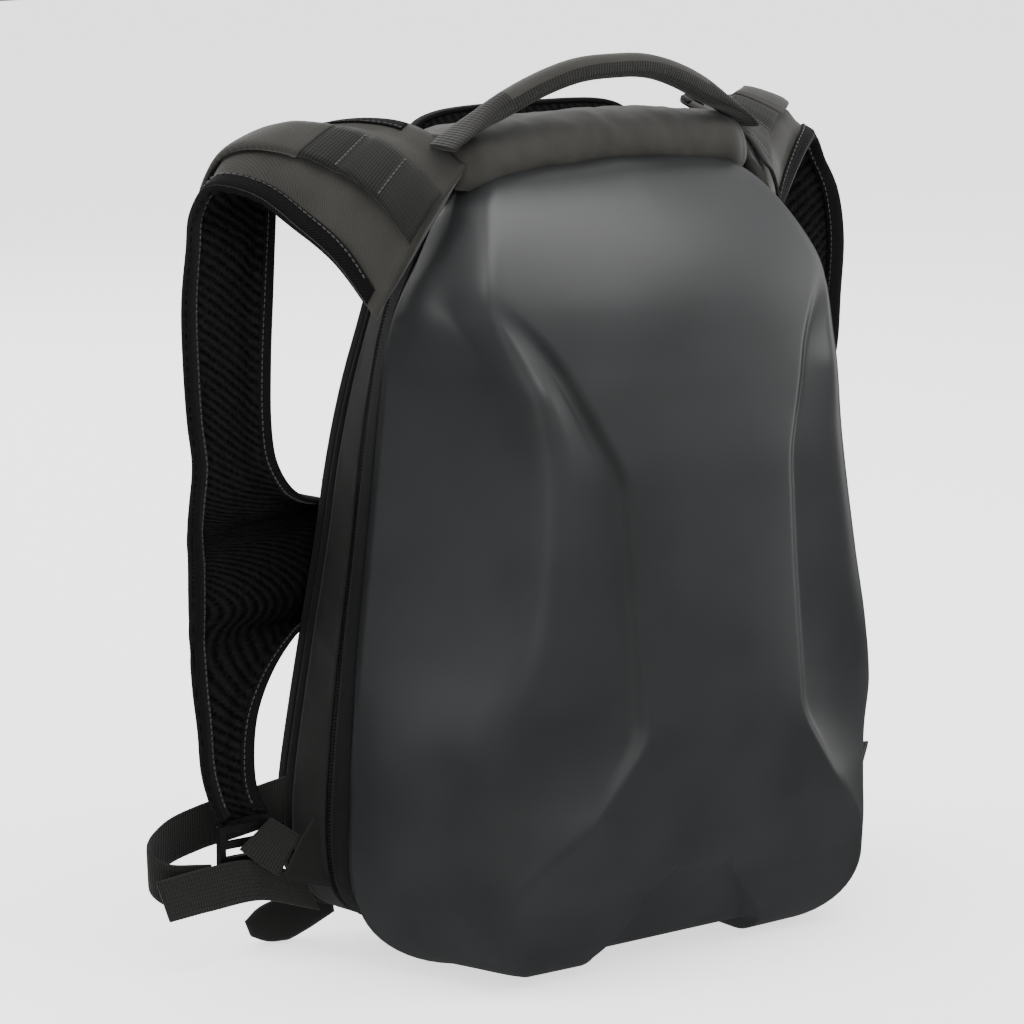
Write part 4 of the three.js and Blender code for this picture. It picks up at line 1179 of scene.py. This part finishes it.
web_runs = (("lower_web", LOWER_WEB, 24), ("strap_tail", TAIL, 40), ("waist_web", WAIST_WEB, 90))
for name, route, count in web_runs:
    dress_pair(web_strip(name + "_right", route, count), name, webbing_cloth, "webbing", True)

# %% [markdown]
# The tab beside the zip is a folded piece of twill. The flap under the lower corner is a thin
# padded piece in the side wall's cloth, which the pack rests on behind its feet.

# %% Side tab and hip flap
SIDE_TAB = [((160, 21, 42), (162, 27, 87)), ((174, 25, 46), (168, 28, 80)), ((188, 28, 51), (174, 29, 72))]
HIP_FLAP = [
    ((132, 60, 14), (134, 60, 30)), ((149, 64, 5), (150, 64, 29)), ((160, 68, 0), (166, 68, 25)),
    ((172, 70.5, 1), (177, 70, 21)), ((181, 72, 5), (185, 71.5, 14)),
]


def cloth_leaf(name, rows, count, half, puff):
    """A sewn leaf of cloth, thicker in its middle."""
    shares = np.linspace(0, 1, 11)

    def rises(i):
        t = i / (count - 1)
        return half + puff * (4 * shares * (1 - shares)) ** 0.6 * (4 * t * (1 - t)) ** 0.4

    return Strip(rows, count).solid(name, lambda i: two_sided(shares, rises(i)))


side_tab = cloth_leaf("side_tab_right", SIDE_TAB, 20, 0.9, 0.5)
hip_flap = cloth_leaf("hip_flap_right", HIP_FLAP, 30, 1.2, 3.4)
for v in hip_flap.data.vertices:
    v.co.z = max(v.co.z, 0.0)
for flap in dress_pair(hip_flap, "hip_flap", gusset_twill, "lining", True)[::-1]:
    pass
dress_pair(side_tab, "side_tab", gusset_twill, "cloth", True)

# %% [markdown]
# The yoke is a padded roll over the shell's top edge. Its cloth is pulled round the foam and sewn
# down at the front, so the roll is round in front and flatter on top.

# %% Yoke
YOKE_HALF, YOKE_RINGS, YOKE_RING = 99.0, 81, 40
YOKE_TUCK, YOKE_DROOP = 0.12, 5
YOKE_PROFILE = np.array([
    (-24, 437), (-27.5, 442), (-29, 449), (-27.5, 457), (-22, 464), (-11, 468.5), (3, 470), (17, 468.5),
    (31, 465.5), (41, 461), (45.5, 455), (46, 447), (44, 438),
], float)


def yoke_roll():
    """The roll, as rings along the width; its ends draw in to the strap seams."""
    profile = curve_through(np.column_stack([YOKE_PROFILE, YOKE_PROFILE[:, 0] * 0]), YOKE_RING)[:, :2]
    middle = np.array([9.0, 448.0])
    points, uvs = [], []
    run = running_length(profile)
    for x in np.linspace(-YOKE_HALF, YOKE_HALF, YOKE_RINGS):
        share = abs(x) / YOKE_HALF
        tuck = 1 - YOKE_TUCK * soft_step(share, 0.9, 1.0)
        for place, v in zip(profile, run):
            y, z = middle + (place - middle) * tuck
            points.append(at(x, y, z - share**2 * YOKE_DROOP))
            uvs.append((x * MM, v * MM))
    return closed_tube("yoke_roll", points, uvs, YOKE_RING)


yoke = yoke_roll()
# The two end rings and the sewn edge at the front are held.
held = []
for i in range(YOKE_RINGS):
    for j in range(YOKE_RING):
        held.append(1.0 if i in (0, YOKE_RINGS - 1) or j < 2 or j > YOKE_RING - 5 else 0.0)
plump(yoke, held, cap=0.0022, pressure=3.0)
dent(yoke, 1.6, 38.0)
dress(yoke, strap_twill, "cloth", "yoke")

# %% [markdown]
# The grab handle is a strip of stout webbing folded round a foam core, with plain cloth on top.
# Towards its ends it flattens and goes down beside the ends of the yoke.

# %% Handle
HANDLE_SPAN = 101.0
HANDLE_ROWS = np.array([
    (-1.05, 0.22), (-1.0, 0.31), (-0.93, 0.40), (-0.83, 0.51), (-0.52, 0.81), (-0.25, 0.97), (0, 1.0),
    (0.25, 0.97), (0.52, 0.81), (0.83, 0.51), (0.93, 0.40), (1.0, 0.31), (1.05, 0.22),
])
HANDLE_RISE, HANDLE_FOOT, HANDLE_LEAN = 51.0, 9.0, 17.0
HANDLE_RINGS, HANDLE_RING = 120, 20
# Half its width and half its height, first in the middle and then at the ends.
HANDLE_WIDE, HANDLE_TALL = (7.5, 14.0), (6.8, 2.0)
FLAT_START, FLAT_END = 0.6, 0.93
HANDLE_GIRTH = 0.040
# The cloth on top covers this share of the handle's half.
HANDLE_CLOTH = 0.7


def grab_handle():
    """The handle as rings along its curve, round in the middle and flat at its ends."""
    line_points = np.column_stack([
        HANDLE_ROWS[:, 0] * HANDLE_SPAN,
        -HANDLE_FOOT - HANDLE_LEAN * HANDLE_ROWS[:, 1],
        SHELL_HEIGHT + HANDLE_RISE * HANDLE_ROWS[:, 1],
    ])
    path = curve_through(line_points, HANDLE_RINGS)
    run = running_length(path)
    along = np.gradient(path, axis=0)
    along /= np.linalg.norm(along, axis=1)[:, None]
    forward = np.array([0, -1.0, 0])
    points, uvs = [], []
    for i in range(HANDLE_RINGS):
        depth = np.cross(along[i], (0, 0, 1.0))
        depth = forward if np.linalg.norm(depth) < 1e-3 else depth / np.linalg.norm(depth)
        depth = forward * 0.7 + depth * 0.3
        depth /= np.linalg.norm(depth)
        up = np.cross(depth, along[i])
        flat = soft_step(abs(2 * run[i] / run[-1] - 1), FLAT_START, FLAT_END)
        wide, tall = (a + (b - a) * flat for a, b in (HANDLE_WIDE, HANDLE_TALL))
        for a in np.linspace(0, 2 * math.pi, HANDLE_RING, endpoint=False):
            c, s = (math.copysign(abs(q) ** 0.8, q) for q in (math.cos(a), math.sin(a)))
            points.append(at(*(path[i] + depth * wide * c + up * tall * s)))
            uvs.append((run[i] * MM, a / (2 * math.pi) * HANDLE_GIRTH))
    return closed_tube("grab_handle", points, uvs, HANDLE_RING)


handle = grab_handle()
handle.data.materials.append(handle_webbing)
handle.data.materials.append(strap_twill)
for face in handle.data.polygons:
    turns = [v % HANDLE_RING for v in face.vertices]
    on_top = min(turns) > 0 and max(turns) < HANDLE_RING / 2
    if on_top and abs(face.center.x) < HANDLE_CLOTH * HANDLE_SPAN * MM:
        face.material_index = 1
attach(handle, "root")
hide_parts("handle")

# %% [markdown]
# The wearer's back rests on a padded panel of spacer mesh. Sewn channels divide it into pads and
# let air through. A herringbone binding closes its edge.

# %% Back panel
BACK_FACE, BACK_SIDE = 65.3, BACK_FRONT + 4.5
BACK_RISE = 8.0
BACK_INSET = -1.5
CHANNEL_HEIGHTS, CHANNEL_DEPTH = (120, 220, 320), 5.0
MIDDLE_CHANNEL, CROSS_CHANNEL = (7, 17), (3, 11)
PAD_MIDDLE_Z = 225.0
PAD_RINGS = 44


def back_relief(x, z):
    """How far the pads stand out, with a channel down the middle and three across."""
    channel = 1 - soft_step(abs(x), *MIDDLE_CHANNEL)
    for place in CHANNEL_HEIGHTS:
        channel = max(channel, 1 - soft_step(abs(z - place), *CROSS_CHANNEL))
    return CHANNEL_DEPTH * (1 - channel)


def padded_back():
    """Rings drawn in from the back edge to the middle."""
    count = 240
    start, side = (outline(y, BACK_INSET, BACK_RISE, count) for y in (BACK_FRONT + 0.3, BACK_SIDE))
    rings = [start, side]
    for t in np.linspace(0.03, 1, PAD_RINGS)[:-1]:
        x, z = side[:, 0] * (1 - t), PAD_MIDDLE_Z + (side[:, 2] - PAD_MIDDLE_Z) * (1 - t)
        relief = np.array([back_relief(*place) for place in zip(x, z)]) * soft_step(t, 0.1, 0.24)
        y = BACK_SIDE + (BACK_FACE - BACK_SIDE) * math.sqrt(soft_step(t, 0.0, 0.14)) + relief
        rings.append(np.column_stack([x, y, z]))
    points = np.concatenate(rings)
    return closed_tube("back_pad", [at(*p) for p in points], points[:, [0, 2]] * MM, count)


back_pad = dress(padded_back(), air_mesh, "lining", "back_panel")
back_profile = rounded_band(BACK_FRONT + 0.2, BACK_FRONT + 6.5, 0.4, -2.0, 0.4)
dress(swept_hoop("back_tape", back_profile, 360, BACK_RISE), grey_tape, "tape", "back_binding")

# %% [markdown]
# The hard fittings are moulded acetal. Moulded edges are never sharp, so the plain CAD frames get
# a small rounding. The chest buckle is built from its two halves, with the spring arms showing.

# %% Fittings
# The size of each block of the buckle, and its place from the buckle's middle.
BUCKLE_BLOCKS = [
    ((25, 10.4, 33), (-10.3, 0, 0)), ((17, 9.0, 24), (-9.0, 0.9, 0)), ((9, 8.6, 5.5), (7.0, 0, -13.2)),
    ((9, 8.6, 5.5), (7.0, 0, 13.2)), ((8, 7.6, 12), (5.5, 0, 0)), ((5, 9.6, 33), (12.6, 0, 0)),
    ((9, 8.4, 3.6), (18.2, 0, -14.6)), ((9, 8.4, 3.6), (18.2, 0, 14.6)), ((3.2, 6.0, 32.6), (21.3, 0, 0)),
]


def round_edges(piece, width):
    """Rounds the sharp edges of a hard piece."""
    bevel = piece.modifiers.new("rounding", "BEVEL")
    bevel.width = width
    bevel.segments = 3
    bevel.limit_method = "ANGLE"
    bevel.angle_limit = math.radians(35)


for name in ("ladder_lock", "strap_slider"):
    for side in ("right", "left"):
        fitting = nodes[f"{name}_{side}"]
        fitting.data.materials.clear()
        fitting.data.materials.append(acetal)
        round_edges(fitting, 0.0009)

chest_low, chest_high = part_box("chest_buckle")
chest_y = ((chest_low[1] + chest_high[1]) / 2 - RIM_Y) / MM
chest_z = (chest_low[2] + chest_high[2]) / 2 / MM
bm = bmesh.new()
for size, (x, y, z) in BUCKLE_BLOCKS:
    place = (x, chest_y + y, chest_z + z)
    for v in bmesh.ops.create_cube(bm, size=1.0)["verts"]:
        v.co = at(*(v.co[k] * size[k] + place[k] for k in range(3)))
mesh = bpy.data.meshes.new("chest_buckle")
bm.to_mesh(mesh)
bm.free()
buckle = bpy.data.objects.new("side_release_buckle", mesh)
bpy.context.scene.collection.objects.link(buckle)
round_edges(buckle, 0.0012)
dress(buckle, acetal, "plastic", "chest_buckle")

chest_web_low, chest_web_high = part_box("chest_web_right")
web_mid = ((chest_web_low[2] + chest_web_high[2]) / 2) / MM
web_low, web_high = web_mid - WEB_WIDTH / 2 + 0.5, web_mid + WEB_WIDTH / 2 - 0.5
chest_rows = [
    ((x, chest_y + dip, web_low), (x, chest_y + dip, web_high))
    for x, dip in ((20.5, 0), (32, 0.6), (46, 0.4), (58, 0), (68, 0))
]
chest_ring = two_sided(WEB_ACROSS, (0.2, 0.6, 0.85, 0.85, 0.85, 0.6, 0.2))
chest_web = Strip(chest_rows, 24).solid("chest_web_right", lambda i: chest_ring)
dress_pair(chest_web, "chest_web", webbing_cloth, "webbing", True)
